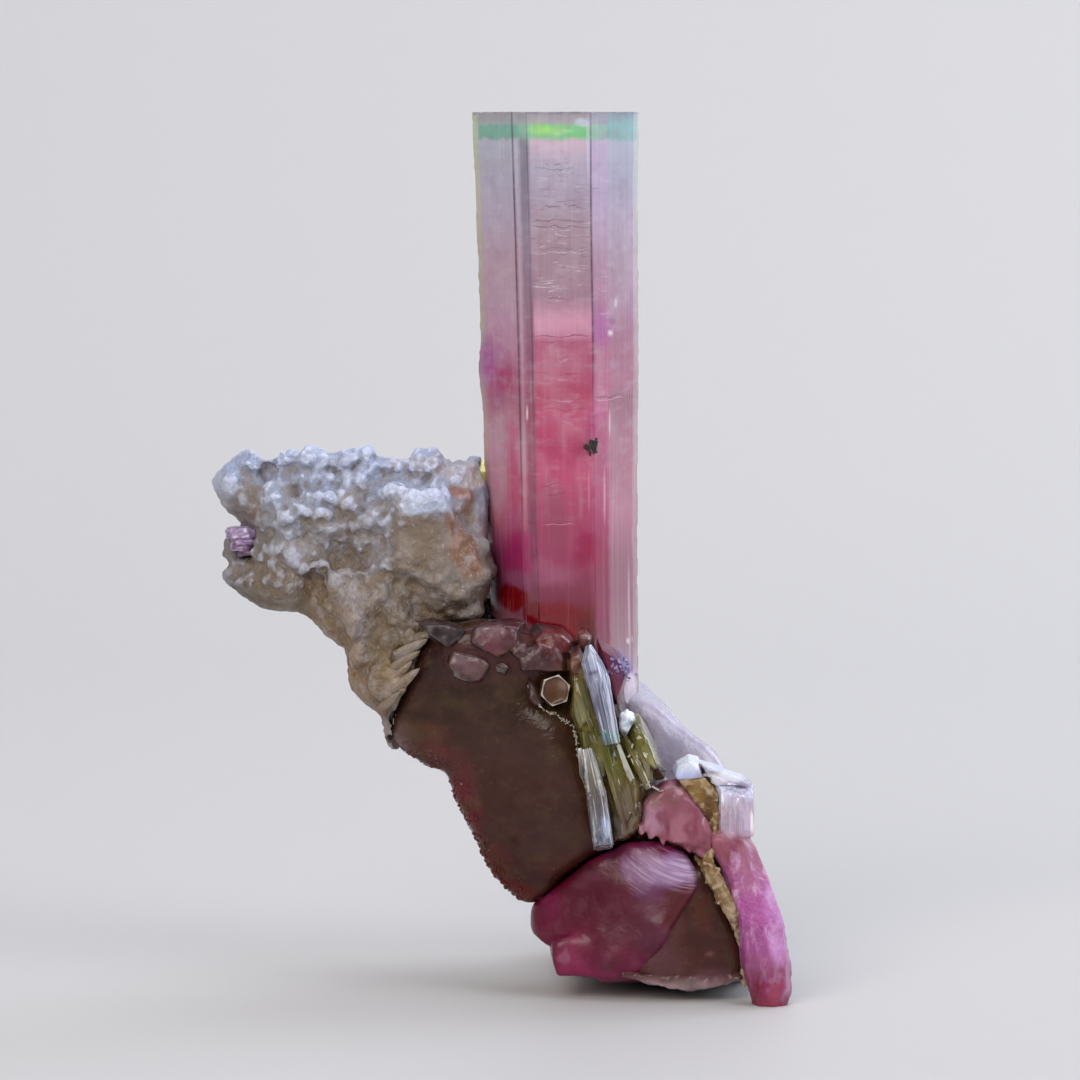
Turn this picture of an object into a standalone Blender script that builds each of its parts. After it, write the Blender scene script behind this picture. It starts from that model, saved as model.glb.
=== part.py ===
"""A mineral specimen: a tall tourmaline prism standing on smoky quartz, with an albite mass, rose
tourmalines, small green and clear prisms and a mica book. Metres, +Z up, viewed from -Y."""

import math
import random

import bmesh
import bpy
from mathutils import Matrix, Vector

MM = 0.001

# Driving dimensions, in millimetres. Everything below is in millimetres until a mesh is scaled.
PRISM_TOP = 88.3
PRISM_HALF_WIDTH = 8.5
RIB_WIDTH = 1.3
RIB_DEPTH = 0.08
GAP = 0.45  # growth of a cutter along its normals; the flat faces then clear by about 0.3
LUMP_SIZES = (0.8, 1.7)
LUMP_COUNT = 330
ALBITE_VOXEL = 0.6
ALBITE_TRIANGLES = 4000

# The tall prism's cross-section about its axis, anticlockwise from the right-hand corner.
PRISM_SECTION = (
    (8.5, 0.6), (8.1, 1.8), (4.4, 6.6), (0.3, 7.2), (-4.3, 6.6), (-8.0, 1.6),
    (-8.5, 0.2), (-7.9, -1.0), (-4.4, -6.7), (-3.0, -7.4), (3.5, -7.3), (7.9, -1.4),
)
# Height, middle in X and half width: the prism widens a little upwards, on its left side.
PRISM_STATIONS = (
    (34.5, 6.3, 7.5), (40.0, 6.2, 7.5), (45.0, 6.0, 7.7), (52.0, 5.9, 7.8),
    (65.0, 5.75, 8.05), (77.0, 5.5, 8.2), (PRISM_TOP - 0.25, 5.3, 8.5), (PRISM_TOP, 5.3, 8.42),
)
PRISM_Y = 7.0
PRISM_FOOT_SLOPE = -0.70  # the broken foot drops to the right

# Corners of the broken crystals, which are the convex hulls of these points.
QUARTZ_SHOULDER = (
    (-11.8, 4, 25.4), (-11, 2, 27.5), (-9.5, 0.4, 31), (-7.5, 0, 36), (-5, -0.8, 36.8), (0, -1.6, 34.8),
    (-1, -2.3, 26), (-3.5, -1.2, 22.6), (-7.3, 0.8, 22.2), (-10.1, 3, 23.6), (-9, 7, 28), (-6, 8, 36),
    (-4, 7, 24),
)
QUARTZ_BODY = (
    (-5, -0.6, 36.4), (-2, -1, 35.4), (4, -2, 34.2), (9, -2, 32), (13.6, -1, 29.2), (15.3, -2.6, 21),
    (13.8, -3.6, 16.2), (11.5, -4, 14.6), (7.5, -4, 12.8), (5.7, -4, 16.5), (8.7, -4.3, 21), (5, -3.9, 27),
    (0, -2.4, 28), (1, -2.6, 18), (-2, -0.8, 14.8), (-4.6, -0.2, 19.3), (-5.8, 0.5, 22), (-2, 12, 40),
    (4, 17, 42), (12, 17, 37.5), (16, 16, 24), (14, 15, 12), (5, 10, 11), (-1, 6, 13), (-4, 6, 21),
    (-3, 8, 33),
)
QUARTZ_LEDGE = (
    (-2.6, -0.4, 14.6), (-0.4, -1.2, 16.5), (2.5, -3.8, 15.4), (6.8, -4.9, 14.4), (8.6, -4.4, 12.6),
    (4.2, -2.2, 9.2), (2.3, 0.4, 8.6), (-0.4, 0.2, 10.6), (6, 5, 9.4), (8, 5, 16), (0, 4, 14),
)
QUARTZ_FOOT = (
    (12.5, -3, 16.5), (20.6, -3.6, 13.4), (22.5, -3.9, 9.5), (23.8, -3.9, 5), (24.3, -3.4, 1.2), (24, -2, 0),
    (18.8, -3.1, 0.8), (18.8, -2, 0), (13.8, -2.9, 1.6), (13.4, -1.4, 0), (8, 7, 0), (6.5, 12, 0),
    (25.8, 9, 0), (9, 12, 12), (23, 3, 19), (14, 12, 20), (25.6, -1.6, 10), (26, -1.4, 3), (7, 7, 8),
)
PALE_QUARTZ = (
    (12, 5.4, 29.4), (13.8, 5, 28.8), (16.3, 6, 27.7), (19, 7, 25.1), (21.5, 7, 23), (22.6, 7, 21.2),
    (25, 6.6, 14), (26, 8, 0), (5.4, 7, 0), (4.3, 12, 0), (5, 21, 0), (10.5, 27, 0), (25, 26.5, 0),
    (11, 26, 22), (21.5, 25.5, 18), (12.5, 22, 30), (23, 14, 20.5), (26.2, 18, 5), (8, 11, 18), (8.5, 17, 27),
)
BASE_TOURMALINE = (
    (2.7, -1, 8.6), (4.6, -3, 10), (9.4, -4.8, 14), (12.4, -5.4, 15.9), (15.6, -5.6, 16), (18.6, -5.8, 14.6),
    (20.1, -6, 12.4), (18.6, -7.6, 10.8), (16.4, -7.8, 7.3), (13.7, -6.3, 3), (9.7, -6, 2.4),
    (5.7, -3.8, 1.8), (4.8, -3, 4.7), (3.2, -2, 7.1), (3.6, 5, 8.2), (4.4, 3.6, 0), (5.4, 7, 0),
    (11, 7, 0), (13.4, -1.6, 0), (9.4, -1.6, 0), (9, 6, 12.6), (15, 3, 14.4),
)
ROSE_WEDGE = (
    (14.9, -3.6, 20.5), (17.4, -2.8, 21.8), (18.8, -3, 21.3), (20.6, -4, 18), (21, -3.8, 14.6),
    (18.6, -6.2, 14.9), (16.2, -6.4, 16), (13.9, -5.4, 16.8), (14.2, -4.8, 19.1), (18.2, -5.8, 17.6),
    (15.2, 2, 20.5), (20.4, 2, 16.5), (14.6, 1, 15.5),
)
PEARLY_LEFT = (
    (16.9, -3.6, 22.4), (17.7, -4.6, 21.7), (19.6, -4.9, 22.4), (20, -4, 23.3), (19.2, -3, 24.4),
    (17.8, -2.6, 24.2), (17.4, -0.5, 22), (20, -0.5, 22.4),
)
PEARLY_RIGHT = (
    (19.2, -4.4, 23.6), (20.6, -3.2, 24), (22, -2.2, 23.2), (21.4, -4, 22.6), (20, -4.8, 22.6),
    (20, -0.4, 21.6), (22, -0.4, 22),
)
# Rods: middle line and radius at each station.
SIDE_TOURMALINE = (
    ((23, -3.4, 24.5), 2.1), ((23.1, -4.2, 18), 2.1), ((22.9, -4.4, 17.6), 1.85), ((23.5, -4.8, 14.2), 2.1),
    ((24.7, -5.5, 11), 2.25), ((25.6, -6.2, 8), 2.45), ((26.4, -7, 4), 2.6), ((26.7, -7.6, 1), 2.1),
    ((26.8, -7.8, -1), 1.2),
)
SIDE_TOP = ((23.2, -4, 22.6), (0.45, -0.35, 1))  # a point of the slanted break and its normal
GREEN_RODS = (
    (((6.9, -3, 32.6), 1.5), ((9.6, -4, 25), 2), ((12.2, -4.6, 16.6), 1.9)),
    (((9.2, -3.2, 34), 1.3), ((11, -4, 26), 1.9), ((13.4, -4.6, 16.8), 1.8)),
    (((12.3, -3.2, 29.3), 1), ((13.6, -4, 26), 1.5), ((15.5, -5, 21.2), 1.1)),
    (((7.4, -5, 26.8), 0.8), ((8, -5.4, 23.5), 1.2), ((9.6, -6, 17.8), 1.1)),
)
OCHRE_SEAM = (
    ((18.6, -4.6, 21.6), 0.6), ((20, -4.7, 21), 1.1), ((21, -4.8, 19.2), 1), ((21, -5.2, 17), 0.9),
    ((20.8, -5.8, 15), 0.9), ((21.4, -6.3, 12.9), 1.4), ((22.6, -6.4, 10.6), 1.3), ((23.2, -6.4, 8.4), 1),
    ((23.6, -6, 5.4), 0.5),
)
CLEAR_UPPER = (((8.6, -5.3, 35.4), 0.5), ((9.3, -5.6, 32.9), 1.65), ((11.1, -6.9, 26), 1.5))
CLEAR_LOWER = (
    ((8.9, -6.7, 25), 1.1), ((9.5, -7.1, 21), 1.3), ((10.1, -7.5, 16.4), 1.3), ((10.2, -7.6, 15.8), 0.8),
)
END_ON_PRISM = (((4.8, -1, 30.6), 1.8), ((4.8, -4.7, 30.8), 1.75))
YELLOW_TIP = (((-0.9, 13.4, 46), 1), ((-1.9, 13, 51.6), 0.9), ((-2.1, 12.9, 52.7), 0.3))
MICA_AXIS = (((-26.6, 5.4, 43.9), 2.0), ((-26.8, 5.2, 45.8), 2.2))

# Albite: the ellipsoids of the mass, as centre and radii.
ALBITE_BLOBS = (
    ((-12.5, 6.2, 47.6), (9.2, 5, 6.2)), ((-20.5, 5.8, 48.2), (6, 4.8, 5.8)),
    ((-21.9, 5.6, 42.4), (6, 4.2, 4.6)), ((-26.2, 6, 50.5), (2.8, 3, 3.1)),
    ((-6.2, 6.6, 49.6), (4.5, 4.8, 4.3)), ((-13, 5.4, 39.8), (6.8, 4.8, 6.2)),
    ((-12.2, 4.4, 33), (3.7, 3.8, 5.2)), ((-10.9, 4, 27), (1.4, 2.6, 3.2)), ((-5.4, 5, 42), (4.4, 5, 5.6)),
)
# Its one large tabular crystal, and the blades that reach over the quartz, as centre, radii and lean.
ALBITE_TABLET = (
    (-11.6, 0.6, 51), (-9.6, -0.6, 49.8), (-6.6, -0.6, 50.6), (-4.6, 0.4, 47.6), (-4.4, 0.8, 43.4),
    (-8, 0.2, 41.5), (-11.5, 0.4, 43), (-11, 5, 50), (-5, 5, 49), (-8, 5, 42),
)
ALBITE_BLADES = (
    ((-8.2, 0, 36.4), (2.4, 0.9, 0.8), 40), ((-8, 0.4, 33.8), (2.2, 0.9, 0.7), 35),
    ((-9.6, 0.6, 31.4), (2.2, 0.9, 0.7), 60), ((-10.6, 1, 36.5), (2.6, 1.2, 1), 75),
    ((-14, 0.8, 38.5), (3, 1.2, 1.4), 85), ((-16.8, 1.2, 40.5), (2.8, 1, 1.2), 80),
)
# The broken shards at the prism's foot, and the one right of the clear prism: centre and radii.
SHARDS = (
    ((-5.4, -1.2, 36.6), (3.6, 2, 1.4)), ((-3, -2, 34), (3, 2.2, 2.6)),
    ((-0.2, -1.9, 35.8), (3.8, 2.4, 2.2)), ((4.2, -2.6, 34.2), (3.6, 2.4, 2.3)),
)
ROSE_SHARD = ((11.5, -2.2, 33), (1.5, 1.3, 2.6))

# What grew last gives way to what it grew around.
GIVES_WAY_TO = (
    ("green_tourmaline", "tourmaline_prism clear_prism_upper clear_prism_lower end_on_prism"),
    ("rose_shard", "tourmaline_prism clear_prism_upper green_tourmaline"),
    ("ochre_seam", "side_tourmaline"),
    ("rose_wedge", "green_tourmaline ochre_seam side_tourmaline"),
    ("base_tourmaline", "side_tourmaline rose_wedge ochre_seam"),
    ("pearly_crystal", "rose_wedge side_tourmaline ochre_seam"),
    ("pale_quartz", "tourmaline_prism side_tourmaline"),
    ("foot_shards", "tourmaline_prism green_tourmaline end_on_prism clear_prism_upper"),
    ("smoky_quartz", "tourmaline_prism side_tourmaline clear_prism_upper clear_prism_lower end_on_prism "
     "green_tourmaline ochre_seam rose_wedge base_tourmaline pearly_crystal rose_shard pale_quartz "
     "foot_shards shard_1 shard_2 shard_3"),
    ("albite_mass", "tourmaline_prism smoky_quartz mica_book yellow_green_prism foot_shards shard_1 shard_2"),
)


def collection(name, hidden=False):
    """A collection in the scene; a hidden one holds cutters and is left out of renders."""
    made = bpy.data.collections.new(name)
    made.hide_render = hidden
    bpy.context.scene.collection.children.link(made)
    return made


def material(name, colour, roughness, transmission=0.0):
    """A Principled BSDF with plain values; minerals are never metallic."""
    made = bpy.data.materials.new(name)
    made.use_nodes = True
    shader = made.node_tree.nodes["Principled BSDF"]
    shader.inputs["Base Color"].default_value = (*colour, 1)
    shader.inputs["Roughness"].default_value = roughness
    shader.inputs["Metallic"].default_value = 0
    shader.inputs["Transmission Weight"].default_value = transmission
    made.diffuse_color = (*colour, 1)
    return made


def piece(name, mesh, finish, group):
    """A named object from a bmesh drawn in millimetres."""
    bmesh.ops.recalc_face_normals(mesh, faces=mesh.faces)
    bmesh.ops.triangulate(mesh, faces=mesh.faces)
    data = bpy.data.meshes.new(name)
    mesh.to_mesh(data)
    mesh.free()
    if finish:
        data.materials.append(finish)
    made = bpy.data.objects.new(name, data)
    group.objects.link(made)
    return made


def add_hull(mesh, corners):
    """Adds the convex hull of the corners to a bmesh, without the corners that lie inside it."""
    hull = bmesh.ops.convex_hull(mesh, input=[mesh.verts.new(corner) for corner in corners])
    loose = set(hull["geom_interior"] + hull["geom_unused"])
    spare = [part for part in loose if isinstance(part, bmesh.types.BMVert)]
    bmesh.ops.delete(mesh, geom=spare, context="VERTS")


def chunk(corners):
    """A broken crystal: the convex hull of its corners."""
    mesh = bmesh.new()
    add_hull(mesh, corners)
    return mesh


def rod(stations, sides=6, ridge=0.0, turn=0.0):
    """A prism along its stations: a capped ring is extruded to each one, with ridges that run its length."""
    mesh = bmesh.new()
    centres = [Vector(centre) for centre, _ in stations]
    segments = sides * (2 if ridge else 1)
    bmesh.ops.create_circle(mesh, cap_ends=True, segments=segments, radius=1)
    ring = [vert.co.copy() for vert in mesh.verts]
    for i, point in enumerate(ring):
        point *= 1 - ridge if ridge and i % 2 else 1
    ends = list(mesh.faces)
    for i, (centre, radius) in enumerate(stations):
        ahead = centres[min(i + 1, len(centres) - 1)] - centres[max(i - 1, 0)]
        facing = ahead.to_track_quat("Z", "Y").to_matrix() @ Matrix.Rotation(turn, 3, "Z")
        if i:
            grown = bmesh.ops.extrude_face_region(mesh, geom=ends)
            bmesh.ops.delete(mesh, geom=[face for face in ends if i > 1], context="FACES_ONLY")
            ends = [part for part in grown["geom"] if isinstance(part, bmesh.types.BMFace)]
        for vert, point in zip(ends[0].verts, ring):
            vert.co = Vector(centre) + facing @ (point * radius)
    return mesh


def ellipsoid(mesh, centre, radii, detail=2, facing=None):
    """Adds a ball, stretched to its radii, to a bmesh."""
    place = Matrix.Translation(centre)
    if facing:
        place = place @ facing.to_4x4()
    place = place @ Matrix.Diagonal((*radii, 1))
    bmesh.ops.create_icosphere(mesh, subdivisions=detail, radius=1, matrix=place)


def slice_off(mesh, point, away):
    """Removes what lies beyond a plane and closes the cut with a flat face."""
    every = mesh.verts[:] + mesh.edges[:] + mesh.faces[:]
    cut = bmesh.ops.bisect_plane(mesh, geom=every, plane_co=point, plane_no=away, clear_outer=True)
    rim = [part for part in cut["geom_cut"] if isinstance(part, bmesh.types.BMEdge)]
    bmesh.ops.edgeloop_fill(mesh, edges=rim)
    return mesh


def ribbed_section():
    """The prism's cross-section with grooves between its ribs, for a half width of 1."""
    points = []
    for start, end in zip(PRISM_SECTION, PRISM_SECTION[1:] + PRISM_SECTION[:1]):
        start, end = Vector(start), Vector(end)
        along = end - start
        inward = Vector((-along.y, along.x)).normalized()
        ribs = max(1, round(along.length / RIB_WIDTH))
        for i in range(2 * ribs):
            deep = RIB_DEPTH if i % 2 == 0 and i else 0
            points.append((start + along * (i / (2 * ribs)) + inward * deep) / PRISM_HALF_WIDTH)
    return points


def tall_prism():
    """The ribbed section extruded from station to station; its foot is broken off at a slant."""
    mesh = bmesh.new()
    section = ribbed_section()
    end = mesh.faces.new([mesh.verts.new((*point, 0)) for point in section])
    for i, (height, middle, half_width) in enumerate(PRISM_STATIONS):
        if i:
            grown = bmesh.ops.extrude_face_region(mesh, geom=[end])
            if i > 1:
                mesh.faces.remove(end)
            end = next(part for part in grown["geom"] if isinstance(part, bmesh.types.BMFace))
        for vert, point in zip(end.verts, section):
            x, y = point * half_width
            drop = PRISM_FOOT_SLOPE * x if i == 0 else 0
            vert.co = (middle + x, PRISM_Y + y, height + drop)
    return mesh


def albite_mass():
    """Overlapping ellipsoids, a tablet, blades and small lumps; the Remesh modifier makes them one."""
    chance = random.Random(7)
    mesh = bmesh.new()
    for centre, radii in ALBITE_BLOBS:
        ellipsoid(mesh, centre, radii, detail=3)
    add_hull(mesh, ALBITE_TABLET)
    for centre, radii, lean in ALBITE_BLADES:
        ellipsoid(mesh, centre, radii, 2, Matrix.Rotation(math.radians(-lean), 3, "Y"))
    for _ in range(LUMP_COUNT):
        centre, radii = chance.choices(ALBITE_BLOBS, weights=[r[0] * r[2] for _, r in ALBITE_BLOBS])[0]
        out = Vector([chance.gauss(0, 1) for _ in range(3)]).normalized()
        spot = Vector(centre) + Vector(radii) * out
        if out.z < -0.35 or any(inside(spot, other, 0.95) for other in ALBITE_BLOBS if other[0] != centre):
            continue
        size = chance.uniform(*LUMP_SIZES)
        lean = (out + Vector((0, 0, 0.5))).to_track_quat("Z", "Y").to_matrix()
        ellipsoid(mesh, spot, (size, size * chance.uniform(0.6, 1), size * chance.uniform(0.7, 1.1)), 1, lean)
    return mesh


def inside(point, blob, share=1.0):
    """True where the point lies in the blob, shrunk to a share of its size."""
    centre, radii = blob
    return sum(((p - c) / (r * share)) ** 2 for p, c, r in zip(point, centre, radii)) < 1


def shard(centre, radii, seed=3):
    """A broken lump: the hull of points strewn on an ellipsoid."""
    chance = random.Random(seed)
    strewn = [Vector([chance.gauss(0, 1) for _ in range(3)]).normalized() for _ in range(26)]
    return chunk([Vector(centre) + Vector(radii) * out for out in strewn])


def remesh(obj, voxel, triangles):
    """Fuses overlapping balls into one skin and thins it to a number of triangles."""
    skin = obj.modifiers.new("skin", "REMESH")
    skin.mode = "VOXEL"
    skin.voxel_size = voxel
    bpy.context.view_layer.update()
    made = len(obj.evaluated_get(bpy.context.evaluated_depsgraph_get()).data.polygons) * 2
    thin = obj.modifiers.new("thin", "DECIMATE")
    thin.ratio = min(1, triangles / made)


def bevel(obj, width, segments=1):
    """Takes the edge off a hull's corners."""
    rounding = obj.modifiers.new("edges", "BEVEL")
    rounding.width = width
    rounding.segments = segments
    rounding.limit_method = "ANGLE"
    rounding.angle_limit = math.radians(12)


def solid_copy(obj):
    """The object's evaluated mesh as new data."""
    bpy.context.view_layer.update()
    return bpy.data.meshes.new_from_object(obj.evaluated_get(bpy.context.evaluated_depsgraph_get()))


def freeze(obj):
    """Replaces the mesh by its evaluated form in triangles, and drops the modifiers."""
    data = solid_copy(obj)
    mesh = bmesh.new()
    mesh.from_mesh(data)
    bmesh.ops.triangulate(mesh, faces=mesh.faces)
    mesh.to_mesh(data)
    mesh.free()
    obj.modifiers.clear()
    obj.data = data


def combine(obj, other, operation):
    """One exact Boolean between two triangulated solids, applied."""
    step = obj.modifiers.new("combine", "BOOLEAN")
    step.operation = operation
    step.object = other
    freeze(obj)


def fuse(obj, others):
    """Joins the other objects to this one, as crystals grown together."""
    for piece_of_it in (obj, *others):
        freeze(piece_of_it)
    for other in others:
        combine(obj, other, "UNION")
        bpy.data.objects.remove(other)


def room(obj, cutters):
    """A copy of the object grown by the gap, for cutting it out of its neighbours."""
    data = solid_copy(obj)
    grown = bmesh.new()
    grown.from_mesh(data)
    bmesh.ops.remove_doubles(grown, verts=grown.verts, dist=0.01)
    grown.normal_update()
    for vert, away in [(vert, vert.normal.copy()) for vert in grown.verts]:
        vert.co += away * GAP
    bmesh.ops.triangulate(grown, faces=grown.faces)
    grown.to_mesh(data)
    grown.free()
    cutter = bpy.data.objects.new(f"room_for_{obj.name}", data)
    cutter.hide_render = True
    cutter.display_type = "WIRE"
    cutters.objects.link(cutter)
    return cutter


def make_room(obj, rooms):
    """Cuts the neighbours' rooms out of the object."""
    freeze(obj)
    for cutter in rooms:
        combine(obj, cutter, "DIFFERENCE")
    drop_crumbs(obj)


def drop_crumbs(obj):
    """Keeps the largest body where a cut has left chips beside it."""
    mesh = bmesh.new()
    mesh.from_mesh(obj.data)
    left, bodies = set(mesh.verts), []
    while left:
        front, body = [left.pop()], []
        while front:
            vert = front.pop()
            body.append(vert)
            near = {edge.other_vert(vert) for edge in vert.link_edges} & left
            left -= near
            front.extend(near)
        bodies.append(body)
    bodies.sort(key=len)
    for body in bodies[:-1]:
        bmesh.ops.delete(mesh, geom=body, context="VERTS")
    mesh.to_mesh(obj.data)
    mesh.free()


def stand_on_origin(objects):
    """Puts the middle of the footprint box on the origin, and turns millimetres into metres."""
    bpy.context.view_layer.update()
    corners = [Vector(corner) for obj in objects for corner in obj.bound_box]
    low = Vector(map(min, zip(*corners)))
    high = Vector(map(max, zip(*corners)))
    shift = Matrix.Translation((-(low.x + high.x) / 2, -(low.y + high.y) / 2, -low.z))
    for obj in objects:
        obj.data.transform(Matrix.Scale(MM, 4) @ shift)


def prisms(parts):
    """The crystals that keep their whole form."""
    zoned = material("zoned_tourmaline", (0.72, 0.42, 0.5), 0.12, 0.7)
    clear = material("clear_tourmaline", (0.68, 0.76, 0.8), 0.06, 0.8)
    piece("tourmaline_prism", tall_prism(), zoned, parts)
    piece("clear_prism_upper", rod(CLEAR_UPPER, turn=0.4), clear, parts)
    piece("clear_prism_lower", rod(CLEAR_LOWER, turn=0.2), clear, parts)
    piece("end_on_prism", rod(END_ON_PRISM, turn=0.3), clear, parts)
    piece("mica_book", rod(MICA_AXIS, turn=0.3), material("lavender_mica", (0.6, 0.45, 0.66), 0.3), parts)


def rose_crystals(parts):
    """The base and side tourmalines, the wedge and the small shard."""
    rose = material("rose_tourmaline", (0.58, 0.14, 0.27), 0.25, 0.3)
    side_rod = rod(SIDE_TOURMALINE, sides=9, ridge=0.06)
    slice_off(side_rod, (0, 0, 0), (0, 0, -1))
    slice_off(side_rod, *SIDE_TOP)
    piece("side_tourmaline", side_rod, rose, parts)
    bevel(piece("base_tourmaline", chunk(BASE_TOURMALINE), rose, parts), 0.7, 2)
    bevel(piece("rose_wedge", chunk(ROSE_WEDGE), rose, parts), 0.3)
    piece("rose_shard", shard(*ROSE_SHARD), rose, parts)


def green_crystals(parts):
    """Four olive prisms grown into one cluster, and the tip behind the albite."""
    olive = material("olive_tourmaline", (0.3, 0.31, 0.08), 0.1, 0.6)
    rods = [piece(f"green_rod_{i}", rod(stations, turn=0.5 * i), olive, parts)
            for i, stations in enumerate(GREEN_RODS)]
    rods[0].name = "green_tourmaline"
    fuse(rods[0], rods[1:])
    piece("yellow_green_prism", rod(YELLOW_TIP), olive, parts)


def quartz_crystals(parts):
    """The smoky quartz, grown of four hulls, the pale quartz behind it and the pearly pair."""
    smoky = material("smoky_quartz", (0.26, 0.17, 0.14), 0.3, 0.4)
    pale = material("pale_quartz", (0.62, 0.56, 0.62), 0.3, 0.5)
    quartz = piece("smoky_quartz", chunk(QUARTZ_BODY), smoky, parts)
    bevel(quartz, 0.8)
    grown_on = []
    for name, corners in (("shoulder", QUARTZ_SHOULDER), ("ledge", QUARTZ_LEDGE), ("foot", QUARTZ_FOOT)):
        grown_on.append(piece(name, chunk(corners), smoky, parts))
        bevel(grown_on[-1], 0.6)
    fuse(quartz, grown_on)
    bevel(piece("pale_quartz", chunk(PALE_QUARTZ), pale, parts), 0.6)
    pearly = piece("pearly_crystal", chunk(PEARLY_LEFT), pale, parts)
    fuse(pearly, [piece("pearly_right", chunk(PEARLY_RIGHT), pale, parts)])


def softer_minerals(parts):
    """The ochre seam, the albite and the shards at the prism's foot, still apart."""
    grain = material("lavender_grain", (0.45, 0.28, 0.32), 0.25, 0.4)
    ochre = material("ochre_seam", (0.42, 0.29, 0.15), 0.7)
    piece("ochre_seam", rod(OCHRE_SEAM, sides=7, turn=0.3), ochre, parts)
    albite = piece("albite_mass", albite_mass(), material("cream_albite", (0.76, 0.7, 0.63), 0.6), parts)
    remesh(albite, ALBITE_VOXEL, ALBITE_TRIANGLES)
    for i, (centre, radii) in enumerate(SHARDS):
        piece(f"shard_{i}" if i else "foot_shards", shard(centre, radii, i), grain, parts)


def build():
    for obj in list(bpy.data.objects):
        bpy.data.objects.remove(obj)
    parts = collection("tourmaline_on_smoky_quartz")
    cutters = collection("cutters", hidden=True)
    for grow in (prisms, rose_crystals, green_crystals, quartz_crystals, softer_minerals):
        grow(parts)
    whole = parts.objects
    rooms = {obj.name: room(obj, cutters) for obj in whole if obj.name != "albite_mass"}
    fuse(whole["foot_shards"], [whole[f"shard_{i}"] for i in range(1, len(SHARDS))])
    for name, neighbours in GIVES_WAY_TO:
        make_room(whole[name], [rooms[neighbour] for neighbour in neighbours.split()])
    for obj in whole:
        freeze(obj)
    stand_on_origin(whole)
    for cutter in list(cutters.objects):
        bpy.data.objects.remove(cutter)


build()
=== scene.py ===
import math
import random

import bmesh
import bpy
import numpy as np
from mathutils import Matrix, Vector, noise


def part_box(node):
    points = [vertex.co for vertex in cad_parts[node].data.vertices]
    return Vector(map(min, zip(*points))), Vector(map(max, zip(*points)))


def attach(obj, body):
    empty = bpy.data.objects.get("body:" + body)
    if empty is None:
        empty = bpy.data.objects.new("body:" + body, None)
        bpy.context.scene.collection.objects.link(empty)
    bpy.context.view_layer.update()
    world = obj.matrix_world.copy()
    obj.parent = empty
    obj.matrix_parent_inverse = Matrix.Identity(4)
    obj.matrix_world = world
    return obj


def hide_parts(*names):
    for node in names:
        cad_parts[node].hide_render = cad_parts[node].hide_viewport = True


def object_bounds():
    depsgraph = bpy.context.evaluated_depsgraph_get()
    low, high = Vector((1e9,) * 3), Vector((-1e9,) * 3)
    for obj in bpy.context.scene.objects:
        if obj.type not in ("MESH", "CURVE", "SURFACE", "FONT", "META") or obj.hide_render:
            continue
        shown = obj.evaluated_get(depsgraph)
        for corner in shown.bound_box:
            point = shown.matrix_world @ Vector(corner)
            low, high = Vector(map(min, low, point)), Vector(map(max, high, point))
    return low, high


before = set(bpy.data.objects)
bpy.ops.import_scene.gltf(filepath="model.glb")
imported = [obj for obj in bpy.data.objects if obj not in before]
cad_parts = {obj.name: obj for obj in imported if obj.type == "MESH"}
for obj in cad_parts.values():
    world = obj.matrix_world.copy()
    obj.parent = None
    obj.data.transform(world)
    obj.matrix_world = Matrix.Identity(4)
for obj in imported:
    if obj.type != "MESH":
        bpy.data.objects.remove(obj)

NOISE_SEED = 12  # without one, Blender draws its noise offsets afresh in each session
noise.seed_set(NOISE_SEED)

# Crystals are drawn in millimetres, X to the right, -Y towards the viewer, Z up from the ground.
# A finished one is moved into the frame, in metres. The tall prism's box says where the drawing goes.
MM = 0.001
PRISM_MIDDLE_X, PRISM_FRONT_Y = 5.3, -0.4
cad_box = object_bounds()
prism_low, prism_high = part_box("tourmaline_prism")
ORIGIN = Vector((
    (prism_low.x + prism_high.x) / 2 - PRISM_MIDDLE_X * MM,
    prism_low.y - PRISM_FRONT_Y * MM,
    0,
))
TO_FRAME = Matrix.Translation(ORIGIN) @ Matrix.Scale(MM, 4)
BOX_LOW, BOX_HIGH = [(Vector(corner) - ORIGIN) / MM for corner in cad_box]


def at(x, y, z):
    """A point of the drawing in the frame."""
    return TO_FRAME @ Vector((x, y, z))


def colour(code):
    """An sRGB hex colour as linear red, green and blue."""
    parts = [int(code[i:i + 2], 16) / 255 for i in (1, 3, 5)]
    return [c / 12.92 if c <= 0.04045 else ((c + 0.055) / 1.055) ** 2.4 for c in parts]


def between(value, low, high):
    """The value, held between low and high."""
    return max(low, min(high, value))


# ---------------------------------------------------------------- shapes

WELD = 0.0005  # points of a drawn skin that are closer than this, in mm, become one
CAD_WELD = 0.001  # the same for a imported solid's mesh
ROUNDED_END = (0, 0.45, 0.88)  # shares of the radius in the rings that close a crystal


def skin(around, rows, place):
    """A closed tube: a grid wrapped round, with place(i, j) giving the point of column i in row j."""
    mesh = bmesh.new()
    bmesh.ops.create_grid(mesh, x_segments=around, y_segments=rows - 1, size=1)
    for vert in mesh.verts:
        i = round((vert.co.x + 1) / 2 * around) % around
        j = round((vert.co.y + 1) / 2 * (rows - 1))
        vert.co = place(i, j)
    bmesh.ops.remove_doubles(mesh, verts=mesh.verts, dist=WELD)
    return mesh


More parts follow.
